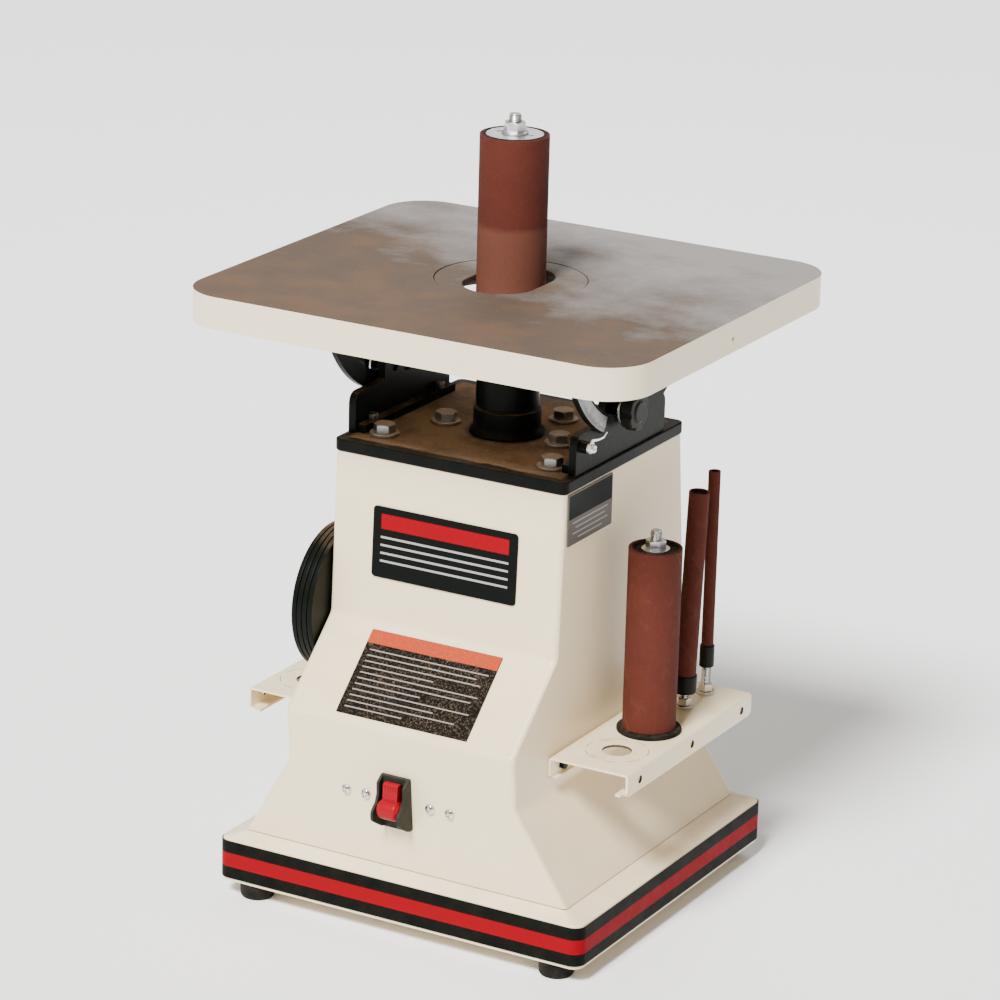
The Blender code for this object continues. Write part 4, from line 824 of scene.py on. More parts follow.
REAR_KNOTS = ((SEAM_Z, SEAM_REAR_Y), (CABINET_TOP, TOP_REAR_Y))
WIDTH_KNOTS = ((SEAM_Z, SEAM_HALF_W), (FLARE_Z, BOX_HALF_W), (CABINET_TOP, BOX_HALF_W))


def along(knots, z):
    """Straight-line value between knots, carried on past the ends."""
    for (z0, v0), (z1, v1) in zip(knots, knots[1:]):
        if z <= z1 or z1 == knots[-1][0]:
            return v0 + (v1 - v0) * (z - z0) / (z1 - z0)


def eased(knots, z, reach):
    """The same with each inner knot rounded over `reach` either way."""
    for (z0, v0), (z1, v1), (z2, v2) in zip(knots, knots[1:], knots[2:]):
        if abs(z - z1) < reach:
            s0, s1 = (v1 - v0) / (z1 - z0), (v2 - v1) / (z2 - z1)
            t = z - z1
            return v1 + (s0 + s1) / 2 * t + (s1 - s0) * (t * t + reach * reach) / (4 * reach)
    return along(knots, z)


def section(half_w, front, rear, z, corner, steps=7):
    """Points round a rectangle with rounded corners, anticlockwise seen from above."""
    points = []
    for sx, y, start in ((1, rear, 0), (-1, rear, 90), (-1, front, 180), (1, front, 270)):
        cx, cy = sx * (half_w - corner), y - corner if y == rear else y + corner
        points += [(*p, z) for p in arc(cx, cy, corner, math.radians(start), math.radians(start + 90),
                                        steps)]
    return points


def folded(sections, thickness, floor=False, bands=None):
    """Sheet metal through the sections, bottom to top. `bands` gives each strip's finish."""
    bm = bmesh.new()
    rings = [[bm.verts.new(p) for p in ring] for ring in sections]
    for strip, (low, high) in enumerate(zip(rings, rings[1:])):
        for i in range(len(low)):
            j = (i + 1) % len(low)
            face = bm.faces.new((low[i], low[j], high[j], high[i]))
            if bands:
                face.material_index = bands[strip]
    if floor:
        bm.faces.new(list(reversed(rings[0])))
    return thickened(bm, thickness)


def tilted(point, tilt):
    return Matrix.Translation(point) @ Matrix.Rotation(tilt, 4, "X")


def lower_front(z):
    return along(FRONT_KNOTS[:2], z)


LOWER_TILT = math.atan2(SEAM_FRONT_Y - SLOPE_LOW_Y, SLOPE_LOW_Z - SEAM_Z)
SLOPE_TILT = -math.atan2(SLOPE_HIGH_Y - SLOPE_LOW_Y, SLOPE_HIGH_Z - SLOPE_LOW_Z)
UPPER_TILT = -math.atan2(TOP_FRONT_Y - SLOPE_HIGH_Y, CABINET_TOP - SLOPE_HIGH_Z)
REAR_TILT = math.atan2(SEAM_REAR_Y - TOP_REAR_Y, CABINET_TOP - SEAM_Z)
SWITCH_X, SWITCH_Z, PORT_Z, COVER_Z = -2 * MM, 107 * MM, 275 * MM, 150 * MM
INLET_X, INLET_Z = 89 * MM, 78 * MM


def make_cabinet():
    reach = 3 * MM
    heights = {SEAM_Z, CABINET_TOP}
    for knot in (FLARE_Z, SLOPE_LOW_Z, SLOPE_HIGH_Z):
        heights |= {knot + reach * k / 3 for k in range(-3, 4)}
    sections = [section(eased(WIDTH_KNOTS, z, reach), eased(FRONT_KNOTS, z, reach), along(REAR_KNOTS, z),
                        z, BEND) for z in sorted(heights)]
    shell = folded(sections, 2 * MM)
    rear = along(REAR_KNOTS, COVER_Z)
    shell = cut(shell, block((130 * MM, 40 * MM, 130 * MM), (0, rear, COVER_Z)),
                drill(28 * MM, -30 * MM, 30 * MM, (0, along(REAR_KNOTS, PORT_Z), PORT_Z), "Y", 72),
                block((20 * MM, 30 * MM, 34 * MM), (SWITCH_X, lower_front(SWITCH_Z), SWITCH_Z)),
                drill(6 * MM, -20 * MM, 20 * MM, (INLET_X, along(REAR_KNOTS, INLET_Z), INLET_Z), "Y", 32))
    shell = softened(shell, 0.35 * MM, 2, 60)
    piece("folded_cabinet", shell, CREAM, "cabinet", "cabinet_shell", smooth=40)


def make_base():
    low, high, mid = size_of("base_tray")
    corner = 9 * MM
    band_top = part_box("stripe_band")[1].z + GAP
    front, rear, half_w = low.y, high.y, high.x
    sections = []
    for i in range(5):
        angle = math.pi / 2 * i / 4
        inset = 1.5 * MM * (1 - math.sin(angle))
        sections.append(section(half_w - inset, front + inset, rear - inset,
                                low.z + 1.5 * MM * (1 - math.cos(angle)), corner - inset, 8))
    top_inset = (half_w - SEAM_HALF_W, SEAM_FRONT_Y - front, rear - SEAM_REAR_Y)
    rim_z = high.z - 1.3 * MM
    soft = 1.1 * MM
    for i in range(7):
        t = i / 6
        down = soft * (1 - t) ** 2
        slide = t * t * soft * 1.2
        part = slide / top_inset[0]
        z = band_top - down + t * t * soft * 0.45
        sections.append(section(half_w - top_inset[0] * part, front + top_inset[1] * part,
                                rear - top_inset[2] * part, z, corner - (corner - 2 * MM) * part, 8))
    tuck = 0.5 * MM
    sections.append(section(SEAM_HALF_W - tuck, SEAM_FRONT_Y + tuck, SEAM_REAR_Y - tuck, rim_z, 2 * MM, 8))
    tray = softened(folded(sections, 2.4 * MM, floor=True), 0.3 * MM, 2, 70)
    piece("pressed_tray", tray, CREAM, "cabinet", "base_tray", smooth=40)

    low, high, _ = size_of("stripe_band")
    stripes = [low.z, low.z + 9.2 * MM, low.z + 20.4 * MM, high.z - 0.6 * MM]
    tape = folded([section(high.x, low.y, high.y, z, corner + 0.8 * MM, 10) for z in stripes], 0.5 * MM,
                  bands=(0, 1, 0))
    piece("striped_tape", tape, [TAPE_BLACK, TAPE_RED], "cabinet", "stripe_band", smooth=40)

    for end in ("front", "rear"):
        for side in ("left", "right"):
            name = f"foot_{end}_{side}"
            low, high, mid = size_of(name)
            r, h = high.x - mid.x, high.z
            profile = [(3.2 * MM, h), (r, h, 0.8 * MM), (r - 0.3 * MM, h - 3 * MM, 0.6 * MM),
                       (r - 0.7 * MM, 1.8 * MM, 1.2 * MM), (r - 2.2 * MM, 0, 0.5 * MM),
                       (5.5 * MM, 0, 0.4 * MM), (5 * MM, 2 * MM), (3.2 * MM, 2 * MM)]
            foot = moved(lathe(profile, 64, closed=True), at(mid.x, mid.y, 0))
            piece("rubber_" + name, foot, RUBBER, "cabinet", name)
            screw = lathe(mm((0, 4.4), (4.2, 4.2, 0.8), (4.4, 2.1), (0, 2.1)), 40)
            flipped = moved(screw, at(mid.x, mid.y, 6.2 * MM) @ Matrix.Rotation(math.pi, 4, "X"))
            piece("screw_of_" + name, flipped, DARK_STEEL, "cabinet")


# ---------------------------------------------------------------- spindle, drum and quill
SLEEVE_T = 2.7 * MM


def flanged_nut(across, flange_r, bore, start, height):
    flange = lathe([(bore, start + 2.4 * MM), (across * 0.52, start + 2.4 * MM),
                    (flange_r, start + 1 * MM, 0.4 * MM), (flange_r, start, 0.2 * MM), (bore, start)],
                   72, closed=True)
    hexa = cut(hexagon(across, start + 1.5 * MM, start + height),
               drill(bore, start - 5 * MM, start + height + 5 * MM))
    return gathered(flange, hexa)


def make_drum():
    low, high, _ = size_of("sanding_sleeve")
    radius = high.x
    inner = radius - SLEEVE_T
    sleeve = lathe([(inner, high.z), (radius - 0.1 * MM, high.z, 0.3 * MM),
                    (radius, high.z - 1.2 * MM, 0.6 * MM), (radius, low.z + 1 * MM, 0.4 * MM),
                    (radius - 0.2 * MM, low.z), (inner, low.z)], 144, closed=True)
    piece("abrasive_sleeve", sleeve, DRUM_GRIT, "spindle", "sanding_sleeve")

    low, high, _ = size_of("drum_core")
    core = ring(6.5 * MM, high.x - 0.2 * MM, low.z, high.z, 0.8 * MM, 0.8 * MM, 96)
    lip_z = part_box("sanding_sleeve")[1].z
    lip = lathe([(high.x - 1.1 * MM, lip_z + 0.5 * MM), (high.x + 1.2 * MM, lip_z + 0.3 * MM, 0.4 * MM),
                 (high.x + 1.2 * MM, lip_z + 0.05 * MM), (high.x - 1.1 * MM, lip_z + 0.05 * MM)], 96,
                closed=True)
    piece("rubber_core", gathered(core, lip), RUBBER, "spindle", "drum_core")

    low, high, _ = size_of("drum_washer")
    rim = high.x - 1.3 * MM
    disc = ring(6.5 * MM, rim, low.z, high.z + 0.2 * MM, 0.5 * MM, 0.4 * MM, 96)
    disc = cut(disc, *(drill(2.8 * MM, low.z + 0.4 * MM, high.z + 9 * MM, (x, 0, 0), steps=32)
                       for x in (-12.2 * MM, 12.2 * MM)))
    disc = softened(disc, 0.25 * MM, 2, 50)
    piece("end_washer", disc, DISC, "spindle", "drum_washer")

    low, high, _ = size_of("drum_nut")
    nut = moved(flanged_nut(14 * MM, 9.8 * MM, 5 * MM, low.z + 0.1 * MM, high.z - low.z - 0.1 * MM),
                spun(12, "Z"))
    piece("flanged_nut", nut, STEEL, "spindle", "drum_nut")

    low, high, _ = size_of("spindle_shaft")
    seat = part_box("drum_core")[0].z
    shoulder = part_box("sanding_sleeve")[1].z - 3 * MM
    flange, shaft_r = 22 * MM, 6.2 * MM
    shaft = lathe([(0, shoulder), (shaft_r, shoulder, 0.4 * MM), (shaft_r, seat - GAP),
                   (flange, seat - GAP, 0.6 * MM), (flange, seat - 3.5 * MM, 0.8 * MM),
                   (9 * MM, seat - 5.3 * MM, 0.8 * MM), (shaft_r, seat - 5.3 * MM),
                   (shaft_r, low.z + 1 * MM, 0.6 * MM), (shaft_r - 1 * MM, low.z), (0, low.z)], 72)
    stud = thread(4.7 * MM, shoulder, high.z)
    piece("threaded_spindle", gathered(shaft, stud), STEEL, "spindle", "spindle_shaft")


def make_quill():
    for name in ("lower_bearing", "upper_bearing"):
        low, high, _ = size_of(name)
        inner, outer = 6.5 * MM, high.x
        split = (inner + outer) / 2
        soft = 0.3 * MM
        rings = [lathe([(a, high.z, soft), (b, high.z, soft), (b, low.z, soft), (a, low.z, soft)], 64,
                       closed=True) for a, b in ((inner, split - 0.9 * MM), (split + 0.9 * MM, outer))]
        rings.append(lathe([(split - 0.8 * MM, high.z - 0.7 * MM), (split + 0.8 * MM, high.z - 0.7 * MM),
                            (split + 0.8 * MM, low.z + 0.7 * MM), (split - 0.8 * MM, low.z + 0.7 * MM)],
                           64, closed=True))
        piece("shielded_" + name, gathered(*rings), STEEL, "quill", name)


# ---------------------------------------------------------------- storage
STORE_X = 131 * MM
SHELF_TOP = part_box("storage_shelf_right")[1].z
HOLES_Y = (-58 * MM, -9 * MM, 46 * MM, 82 * MM)
SLOTS_Y = (-78 * MM, 3.5 * MM, 84 * MM)


def make_shelves():
    low, high, _ = size_of("storage_shelf_right")
    sheet, lip, bend = 1.8 * MM, 10 * MM, 2.6 * MM
    x0, x1, foot = low.x, high.x, low.z
    outer = fillet([(x0 + 5 * MM, foot), (x0, foot, bend), (x0, high.z, bend), (x1, high.z, bend),
                    (x1, foot, bend), (x1 - lip, foot)], steps=6)
    inner = fillet([(x0 + 5 * MM, foot + sheet), (x0 + sheet, foot + sheet, bend - sheet + 0.4 * MM),
                    (x0 + sheet, high.z - sheet, bend - sheet + 0.4 * MM),
                    (x1 - sheet, high.z - sheet, bend - sheet + 0.4 * MM),
                    (x1 - sheet, foot + sheet, bend - sheet + 0.4 * MM), (x1 - lip, foot + sheet)],
                   steps=6)
    outline = list(outer) + list(reversed(inner))
    for side, mirror in SIDES:
        bar = moved(prism(outline, -high.y, -low.y), FACING_FRONT)
        tools = [drill(11 * MM if i < 2 else 5 * MM, high.z - 9 * MM, high.z + 9 * MM, (STORE_X, y, 0),
                       steps=64) for i, y in enumerate(HOLES_Y)]
        tools += [drill(3 * MM, x1 - 9 * MM, x1 + 9 * MM, (0, y, high.z - 9 * MM), "X", 32)
                  for y in SLOTS_Y]
        tools.append(drill(1.5 * MM, high.z - 9 * MM, high.z + 9 * MM,
                           (STORE_X + 15 * MM, HOLES_Y[0] + 2 * MM, 0), steps=24))
        for y in (low.y, high.y):
            for x in (x0, x1):
                corner = block((12 * MM, 12 * MM, 12 * MM))
                corner = moved(corner, at(x, y, foot) @ spun(45, "X")
                               @ Matrix.Diagonal((1, 0.45, 0.45, 1)))
                tools.append(corner)
        bar = softened(cut(bar, *tools), 0.4 * MM, 2, 50)

        # Hole and slot walls take a dark brown painted shade, with sawdust specks, instead of cream
        def punched(face):
            spot = face.calc_center_median()
            x, z_off = abs(spot.x), spot.z - high.z + 9 * MM
            hole = any(math.hypot(x - STORE_X, spot.y - y) < (11.2 if i < 2 else 5.2) * MM
                       for i, y in enumerate(HOLES_Y)) and abs(face.normal.z) < 0.5
            slot = any(math.hypot(spot.y - y, z_off) < 3.2 * MM
                       for y in SLOTS_Y) and abs(face.normal.x) < 0.5
            return 1 if hole or slot else 0

        piece("folded_shelf_" + side, moved(bar, mirror), [CREAM, HOLE_PAINTED_SHADE], "cabinet",
              "storage_shelf_" + side, smooth=30, paint=punched)

        scuffs = []
        for radius, start, sweep in ((23.0, 0.1, 0.55), (23.2, 0.95, 0.4), (22.8, 1.7, 0.9),
                                     (23.1, 2.9, 0.5), (23, 3.7, 0.7), (22.9, 4.8, 0.4),
                                     (23.1, 5.5, 0.5), (20.6, 2.2, 0.5), (20.8, 4.1, 0.35)):
            inner, outer = (radius - 0.45) * MM, (radius + 0.45) * MM
            points = arc(0, 0, outer, start, start + sweep, 14) + arc(0, 0, inner, start + sweep, start, 14)
            scuffs.append(prism(points, high.z - 0.05 * MM, high.z + 0.02 * MM))
        worn = moved(gathered(*scuffs), mirror @ at(STORE_X, HOLES_Y[0], 0))
        piece("scuff_ring_" + side, worn, SCUFF, "cabinet")

        bolts = []
        for y in (-80 * MM, 40 * MM):
            head = hexagon(8 * MM, 0, 3.4 * MM)
            bolts.append(moved(head, at(x0 + sheet + 0.1 * MM, y, high.z - 9.5 * MM) @ ALONG["X"]))
        piece("shelf_bolts_" + side, moved(gathered(*bolts), mirror), BLACK_CLEAN, "cabinet")


def make_stored_drum():
    low, high, mid = size_of("stored_sleeve")
    radius = high.x - mid.x
    place = at(mid.x, mid.y, 0)
    sleeve = lathe([(radius - SLEEVE_T, high.z), (radius - 0.1 * MM, high.z, 0.3 * MM),
                    (radius, high.z - 1 * MM, 0.5 * MM), (radius, low.z, 0.4 * MM),
                    (radius - SLEEVE_T, low.z)], 128, closed=True)
    piece("spare_sleeve", moved(sleeve, place), SPARE_GRIT, "stored_drum",
          "stored_sleeve")

    top = high.z
    low, high, _ = size_of("stored_drum_core")
    floor = SHELF_TOP + GAP
    core_r = radius - SLEEVE_T - GAP
    core = lathe([(4 * MM, top - 2.2 * MM), (core_r - 1.5 * MM, top - 2.2 * MM),
                  (core_r, top - 0.4 * MM, 0.4 * MM), (core_r, floor + 3.4 * MM),
                  (4 * MM, floor + 3.4 * MM)], 96, closed=True)
    washer = ring(5 * MM, 24 * MM, floor, floor + 3 * MM, 1.2 * MM, 0.8 * MM, 96)
    piece("spare_core", moved(gathered(core, washer), place), RUBBER, "stored_drum",
          "stored_drum_core")
    stub = lathe([(0, floor + 1 * MM), (9.5 * MM, floor + 1 * MM), (9.5 * MM, floor - 7 * MM, 1 * MM),
                  (0, floor - 8 * MM)], 64)
    disc = ring(4 * MM, 10.5 * MM, top - 2.4 * MM, top - 0.6 * MM, bottom=0, steps=72)
    nut = cut(hexagon(13 * MM, top - 0.6 * MM, top + 6 * MM, turn=0.4),
              drill(4 * MM, top - 9 * MM, top + 19 * MM))
    stud = thread(4.4 * MM, top - 4 * MM, high.z)
    piece("spare_hardware", moved(gathered(stub, disc, nut, stud), place), STEEL, "stored_drum")


def make_stored_tube(name, y, radius, low, top, collar, seam_turn, lean=0.0):
    """A thin sleeve on its arbor. Heights are above the shelf; the piece may lean outwards."""
    place = at(STORE_X, y, SHELF_TOP) @ Matrix.Rotation(lean, 4, "Y")
    wall = 1.5 * MM
    sleeve = ring(radius - wall, radius, low, top)
    grit = abrasive(name + "_grit", (STORE_X, y), radius=radius, lean=lean)
    piece(name + "_paper", moved(sleeve, place), grit, name, name + "_sleeve")
    core = radius - wall - 0.1 * MM
    end = low - collar
    body = lathe([(0, top - 2.5 * MM), (core, top - 2.5 * MM, 0.5 * MM), (core, low),
                  (radius + 1 * MM, low, 0.6 * MM), (radius + 1 * MM, end, 1 * MM), (3 * MM, end),
                  (0, end)], 64)
    piece(name + "_collar", moved(body, place), PLASTIC, name, name + "_arbor")
    floor = GAP + 7 * MM * math.sin(lean)
    nut = moved(hexagon(10 * MM, floor + 2.2 * MM, min(floor + 8 * MM, end)),
                Matrix.Rotation(seam_turn, 4, "Z"))
    washer = ring(0, 7 * MM, floor, floor + 2 * MM, steps=48)
    shank = thread(4 * MM, floor - 8 * MM, end + 1 * MM)
    piece(name + "_fixings", moved(gathered(nut, washer, shank), place), BRIGHT, name)


def make_spare_inserts():
    low, high, mid = size_of("insert_stack")
    radius = high.y - mid.y
    count = 4
    pitch = (high.x - low.x) / count
    place = at(0, mid.y, mid.z) @ MIRROR_X @ ALONG["X"]
    discs = []
    for i in range(count):
        start = -high.x + i * pitch
        discs.append(lathe([(7 * MM, start + pitch - 0.5 * MM, 0.3 * MM),
                            (radius, start + pitch - 0.5 * MM, 0.7 * MM),
                            (radius, start + 0.1 * MM, 0.7 * MM), (7 * MM, start + 0.1 * MM, 0.3 * MM)],
                           128, closed=True))
    piece("spare_insert_discs", moved(gathered(*discs), place), BLACK_CLEAN, "cabinet",
          "insert_stack")
    low, high, _ = size_of("insert_peg")
    end, start = -low.x, -high.x
    cap = end - 9 * MM
    peg = lathe([(0, end), (10.5 * MM, end, 1.5 * MM), (13 * MM, end - 3 * MM, 1.2 * MM),
                 (13 * MM, cap + GAP, 0.6 * MM), (5 * MM, cap + GAP), (5 * MM, start), (0, start)], 72)
    piece("insert_hanger", moved(peg, place), PLASTIC, "cabinet", "insert_peg")


# ---------------------------------------------------------------- plates, screws and switch
def on_panel(bm, point, tilt):
    """Stands a shape made in XY, rising along Z, on a leaning front panel."""
    return moved(bm, tilted(point, tilt) @ spun(90, "X"))


def make_labels():
    z = 280.5 * MM
    point = (0, along(FRONT_KNOTS[2:], z) - GAP, z)
    width, height, deep = 121 * MM, 54 * MM, 0.9 * MM
    plate = softened(prism(rounded_rect(width, height, 3 * MM, 8), 0, deep), 0.25 * MM, 2, 50)
    piece("blank_badge", on_panel(plate, point, UPPER_TILT), PLATE_BLACK, "cabinet",
          "badge_plate")
    face = deep - 0.02 * MM
    bar = prism(rounded_rect(107 * MM, 11.5 * MM, 0.4 * MM, 3, (0, 16 * MM)), face, face + 0.08 * MM)
    piece("badge_bar", on_panel(bar, point, UPPER_TILT), PLATE_RED, "cabinet")
    lines = [prism(rounded_rect(107 * MM, 1.6 * MM, 0.3 * MM, 3, (0, y * MM)), face, face + 0.08 * MM)
             for y in (4, -2, -8, -14)]
    piece("badge_lines", on_panel(gathered(*lines), point, UPPER_TILT), PLATE_GREY, "cabinet")

    point = (0, (SLOPE_LOW_Y + SLOPE_HIGH_Y) / 2, (SLOPE_LOW_Z + SLOPE_HIGH_Z) / 2)
    point = tilted(point, SLOPE_TILT) @ Vector((0, -GAP, 0))
    width, height, deep = 110 * MM, 70 * MM, 0.35 * MM
    piece("notice_sheet", on_panel(prism(rounded_rect(width, height, 0.8 * MM, 3), 0, deep, 0.1 * MM, 1),
                                   point, SLOPE_TILT), NOTICE_BLACK, "cabinet",
          "notice_plate")
    face = deep - 0.01 * MM
    header = prism(rounded_rect(width - 0.6 * MM, 11 * MM, 0.6 * MM, 3, (0, height / 2 - 5.8 * MM)),
                   face, face + 0.05 * MM)
    piece("notice_header", on_panel(header, point, SLOPE_TILT), NOTICE_ORANGE, "cabinet")
    rows = []
    for i in range(11):
        y = height / 2 - 16.5 * MM - 4.75 * MM * i
        reach = (100, 92, 97, 60, 99, 95, 55, 98, 70, 90, 48)[i] * MM
        rows.append(prism(rounded_rect(reach, 0.9 * MM, 0.2 * MM, 2, (reach / 2 - 50 * MM, y)), face,
                          face + 0.05 * MM))
    piece("notice_rules", on_panel(gathered(*rows), point, SLOPE_TILT), NOTICE_LINE, "cabinet")

    low, high, mid = size_of("side_plate")
    depth, tall = high.y - low.y, high.z - low.z
    place = at(low.x, mid.y, mid.z) @ SIDEWAYS
    plate = prism(rounded_rect(depth, tall, 1 * MM, 4), 0, high.x - low.x, 0.15 * MM, 2)
    piece("side_data_plate", moved(plate, place), DATA_GREY, "cabinet", "side_plate")
    face = high.x - low.x - 0.02 * MM
    upper = prism(rounded_rect(depth - 2 * MM, tall * 0.46, 0.6 * MM, 3, (0, tall * 0.24)), face,
                  face + 0.05 * MM)
    piece("side_plate_panel", moved(upper, place), PLATE_BLACK, "cabinet")
    rows = [prism(rounded_rect(w * MM, 1 * MM, 0.2 * MM, 2, (0, -tall * 0.08 - 4 * MM * i)), face,
                  face + 0.05 * MM) for i, w in enumerate((52, 44, 52, 36))]
    piece("side_plate_rules", moved(gathered(*rows), place), PLATE_GREY, "cabinet")


def make_panel_screws():
    for i in range(1, 5):
        _, _, mid = size_of(f"panel_screw_{i}")
        z = SWITCH_Z
        head = lathe(mm((0, 2.7), (1.8, 2.5, 0.6), (3.6, 1.2, 0.8), (4.1, 0),
                      (0, 0)), 48)
        cross = [moved(block((4.6 * MM, 1.2 * MM, 2.8 * MM), (0, 0, 2.7 * MM)),
                       Matrix.Rotation(a + 0.5 * i, 4, "Z")) for a in (0, math.pi / 2)]
        head = softened(cut(head, *cross), 0.12 * MM, 2, 40)
        piece(f"domed_screw_{i}", on_panel(head, (mid.x, lower_front(z) - GAP, z), LOWER_TILT), BRIGHT,
              "cabinet", f"panel_screw_{i}")


def make_switch():
    point = (SWITCH_X, lower_front(SWITCH_Z), SWITCH_Z)
    width, height, sheet = 24 * MM, 42 * MM, 2.2 * MM
    bezel = prism(rounded_rect(width, height, 1.2 * MM, 4), GAP, 3 * MM)
    bezel = cut(bezel, prism(rounded_rect(15.5 * MM, 31 * MM, 1 * MM, 4), -5 * MM, 9 * MM))
    # Guards: a slanted top, a straight flank, then a round lobe low down
    profile = fillet(mm((21, 0.5), (21, 2.5, 1), (17, 9.2, 2),
                      (8.6, 9.7, 5), (3, 12.4, 5), (-2.4, 19.4, 5),
                      (-9.5, 19.4, 5), (-19, 7, 3), (-20.5, 0.5)), steps=8)
    guards = [moved(prism(profile, x, x + sheet), SIDEWAYS)
              for x in (-width / 2, width / 2 - sheet)]
    bezel = softened(joined(bezel, *guards), 0.5 * MM, 3, 40)
    piece("guarded_bezel", on_panel(bezel, point, LOWER_TILT), GUARD, "cabinet",
          "switch_bezel")
    well = softened(block((17 * MM, 32 * MM, 1.6 * MM), (0, 0, -1.2 * MM)), 0.3 * MM, 2)
    piece("switch_well", on_panel(well, point, LOWER_TILT), GUARD, "cabinet")

    # Paddle: a ribbed stem hinged at the top and a round bulb low down for the thumb
    stem = fillet(mm((17.6, 4.4, 1), (17.6, 9.6, 1.4), (4, 11.4, 6),
                   (-9, 11.4, 3), (-12, 8.5, 1.5), (-12, 4.4, 1)),
                  closed=True, steps=6)
    body = moved(prism(stem, -6.2 * MM, 6.2 * MM), SIDEWAYS)
    bulb = lathe(mm((0, 9.3), (4.6, 9.3, 1.5), (7.5, 6.6, 3),
                  (7.5, -6.6, 3), (4.6, -9.3, 1.5), (0, -9.3)), 48)
    bulb = moved(bulb, at(0, -1.8 * MM, 11.1 * MM) @ ALONG["X"])
    body = softened(joined(body, bulb), 0.9 * MM, 4, 40)
    ribs = [block((0.8 * MM, 9 * MM, 0.9 * MM), (x * MM, 12 * MM, 10.1 * MM), 0.25 * MM, 2)
            for x in (-4.5, -2.25, 0, 2.25, 4.5)]
    piece("thumb_paddle", on_panel(gathered(body, *ribs), point, LOWER_TILT), RED, "paddle",
          "switch_paddle")


# ---------------------------------------------------------------- rear fittings
def make_rear():
    size, thick = 154 * MM, 2 * MM
    rear = along(REAR_KNOTS, COVER_Z)
    place = tilted((0, rear + GAP, COVER_Z), REAR_TILT) @ spun(-90, "X")
    cover = prism(rounded_rect(size, size, 5 * MM, 8), 0, thick)
    slots = [prism(rounded_rect(100 * MM, 6 * MM, 3 * MM, 8, (0, (45 - 18 * i) * MM)), -5 * MM, 9 * MM)
             for i in range(6)]
    cover = softened(cut(cover, *slots), 0.4 * MM, 2, 50)
    piece("vented_cover", moved(cover, place), CREAM, "cabinet", "rear_panel")
    screws = []
    for x in (-70 * MM, 70 * MM):
        for y in (-70 * MM, 70 * MM):
            head = lathe([(0, thick + 2.2 * MM), (1.6 * MM, thick + 2.1 * MM, 0.6 * MM),
                          (3.4 * MM, thick + 0.9 * MM, 0.6 * MM), (3.6 * MM, thick), (0, thick)], 40)
            head = cut(head, block((4 * MM, 0.7 * MM, 1.6 * MM), (0, 0, thick + 2.4 * MM)),
                       block((0.7 * MM, 4 * MM, 1.6 * MM), (0, 0, thick + 2.4 * MM)))
            screws.append(moved(head, at(x, y, 0)))
    piece("cover_screws", moved(gathered(*screws), place), BRIGHT, "cabinet")

    inner, outer, length = 28 * MM, 31 * MM, 44 * MM
    place = tilted((0, along(REAR_KNOTS, PORT_Z) + GAP, PORT_Z), REAR_TILT) @ ALONG["Y"]
    port = lathe([(inner, length, 0.6 * MM), (outer - 0.6 * MM, length, 0.8 * MM),
                  (outer, length - 20 * MM, 4 * MM), (outer, 3 * MM, 2 * MM), (38 * MM, 3 * MM, 1 * MM),
                  (38 * MM, 0), (inner, 0)], 96, closed=True)
    rings = [lathe([(outer - 0.8 * MM, z + 1.2 * MM), (outer + 0.3 * MM, z + 0.6 * MM, 0.4 * MM),
                    (outer - 0.8 * MM, z)], 96, closed=True) for z in (30 * MM, 34 * MM, 38 * MM)]
    piece("hose_outlet", moved(gathered(port, *rings), place), PLASTIC, "cabinet",
          "dust_port")

    place = tilted((INLET_X, along(REAR_KNOTS, INLET_Z) + GAP, INLET_Z), REAR_TILT) @ ALONG["Y"]
    gland = lathe(mm((3.6, 14, 0.5), (5.5, 14, 1), (6.4, 4, 1), (10, 3, 0.8),
                   (10, 0), (3.6, 0)), 64, closed=True)
    rings = [lathe([(5.2 * MM, z + 1 * MM), (6.7 * MM, z + 0.5 * MM, 0.3 * MM), (5.2 * MM, z)], 48,
                   closed=True) for z in (5 * MM, 7.5 * MM, 10 * MM)]
    piece("cord_gland", moved(gathered(gland, *rings), place), RUBBER, "cabinet", "cord_inlet")


def finish_inner_nodes():
    """The hidden machinery keeps its CAD shapes and gets real finishes."""
    finishes = {"quill_tube": STEEL, "rotor_shaft": STEEL, "connecting_link": DARK_STEEL,
                "worm_wheel": BRONZE, "gear_case": CORE_IRON, "motor_case": BLACK_CLEAN,
                "motor_end_bell": CORE_IRON, "stator_core": CORE_IRON, "rotor_core": CORE_IRON}
    for name, finish in finishes.items():
        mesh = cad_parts[name].data
        mesh.materials.clear()
        mesh.materials.append(finish)


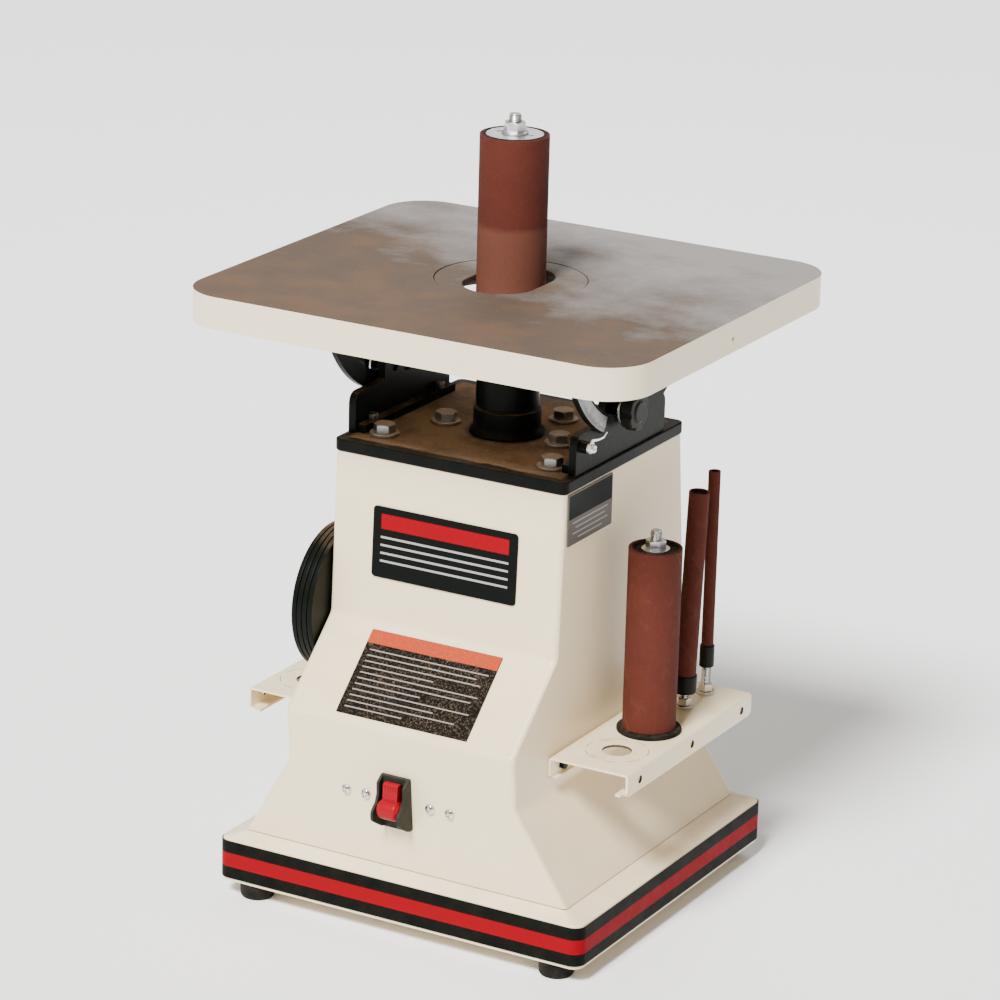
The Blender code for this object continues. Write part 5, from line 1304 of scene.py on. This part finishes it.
# ---------------------------------------------------------------- stage
def make_stage():
    bm = bmesh.new()
    bmesh.ops.create_grid(bm, x_segments=1, y_segments=1, size=30)
    mesh = bpy.data.meshes.new("floor")
    bm.to_mesh(mesh)
    bm.free()
    f = Finish("pale_floor", (0.93, 0.93, 0.925), 0.7)
    f.bump(f.noise(300, 2), 0.05 * MM, 0.2)
    mesh.materials.append(f.material)
    floor = bpy.data.objects.new("floor", mesh)
    bpy.context.scene.collection.objects.link(floor)

    world = bpy.data.worlds.new("studio")
    world.use_nodes = True
    world.node_tree.nodes["Background"].inputs["Color"].default_value = (1, 0.95, 0.87, 1)
    world.node_tree.nodes["Background"].inputs["Strength"].default_value = 0.36
    bpy.context.scene.world = world
    middle = Vector((0, 0, 0.3))
    for name, azimuth, elevation, power, size in (("key", 3, 50, 8.8, None), ("fill", -40, 25, 8, 1.6),
                                                 ("rim", 205, 45, 22, 1.4)):
        lamp = bpy.data.lights.new(name, "AREA" if size else "SUN")
        lamp.energy = power
        if size:
            lamp.size = size
        else:
            lamp.angle = math.radians(16)
        light = bpy.data.objects.new(name, lamp)
        a, e = math.radians(azimuth), math.radians(elevation)
        away = Vector((math.sin(a) * math.cos(e), -math.cos(a) * math.cos(e), math.sin(e)))
        light.location = middle + away * 2.5
        light.rotation_euler = away.to_track_quat("Z", "Y").to_euler()
        bpy.context.scene.collection.objects.link(light)


def make_camera():
    data = bpy.data.cameras.new("camera")
    data.lens, data.sensor_width = CAMERA_LENS, 36
    data.clip_start, data.clip_end = 0.1, 100
    camera = bpy.data.objects.new("camera", data)
    a, e = CAMERA_AZIMUTH, CAMERA_ELEVATION
    back = Vector((math.sin(a) * math.cos(e), -math.cos(a) * math.cos(e), math.sin(e)))
    right = Vector((math.cos(a), math.sin(a), 0))
    up = back.cross(right)
    turned_right = right * math.cos(CAMERA_ROLL) + up * math.sin(CAMERA_ROLL)
    turned_up = back.cross(turned_right)
    rotation = Matrix((turned_right, turned_up, back)).transposed()
    place = CAMERA_AIM + right * CAMERA_SIDESTEP + back * CAMERA_DISTANCE
    camera.matrix_world = Matrix.Translation(place) @ rotation.to_4x4()
    bpy.context.scene.collection.objects.link(camera)
    bpy.context.scene.camera = camera


SLEEVE_MID = size_of("stored_sleeve")[2]
DRUM_GRIT = abrasive("drum_grit", (0, 0), dusty_below=TABLE_TOP + 42 * MM, radius=25 * MM)
SPARE_GRIT = abrasive("spare_grit", (SLEEVE_MID.x, SLEEVE_MID.y))
# Dark brown painted shade for the inside walls of the shelf's holes and slots, peppered with sawdust
HOLE_PAINTED_SHADE = printed("hole_painted_shade", (0.06, 0.04, 0.025), 0.3, 0.7)
SCUFF = printed("shelf_scuff", (0.36, 0.28, 0.20), 0.2, 0.6)

make_camera()
make_stage()
make_table()
make_trunnions()
make_brackets()
make_pointer()
make_lock_knobs()
make_top_plate()
make_plate_bolts()
make_cabinet()
make_base()
make_drum()
make_quill()
make_shelves()
make_stored_drum()
make_stored_tube("medium_tube", HOLES_Y[2], 7.7 * MM, 26.5 * MM, 170.5 * MM, 14 * MM, 0.3, math.radians(2))
make_stored_tube("small_tube", HOLES_Y[3], 4.6 * MM, 38.5 * MM, 175.5 * MM, 17 * MM, 0.9)
make_spare_inserts()
make_labels()
make_panel_screws()
make_switch()
make_rear()
finish_inner_nodes()
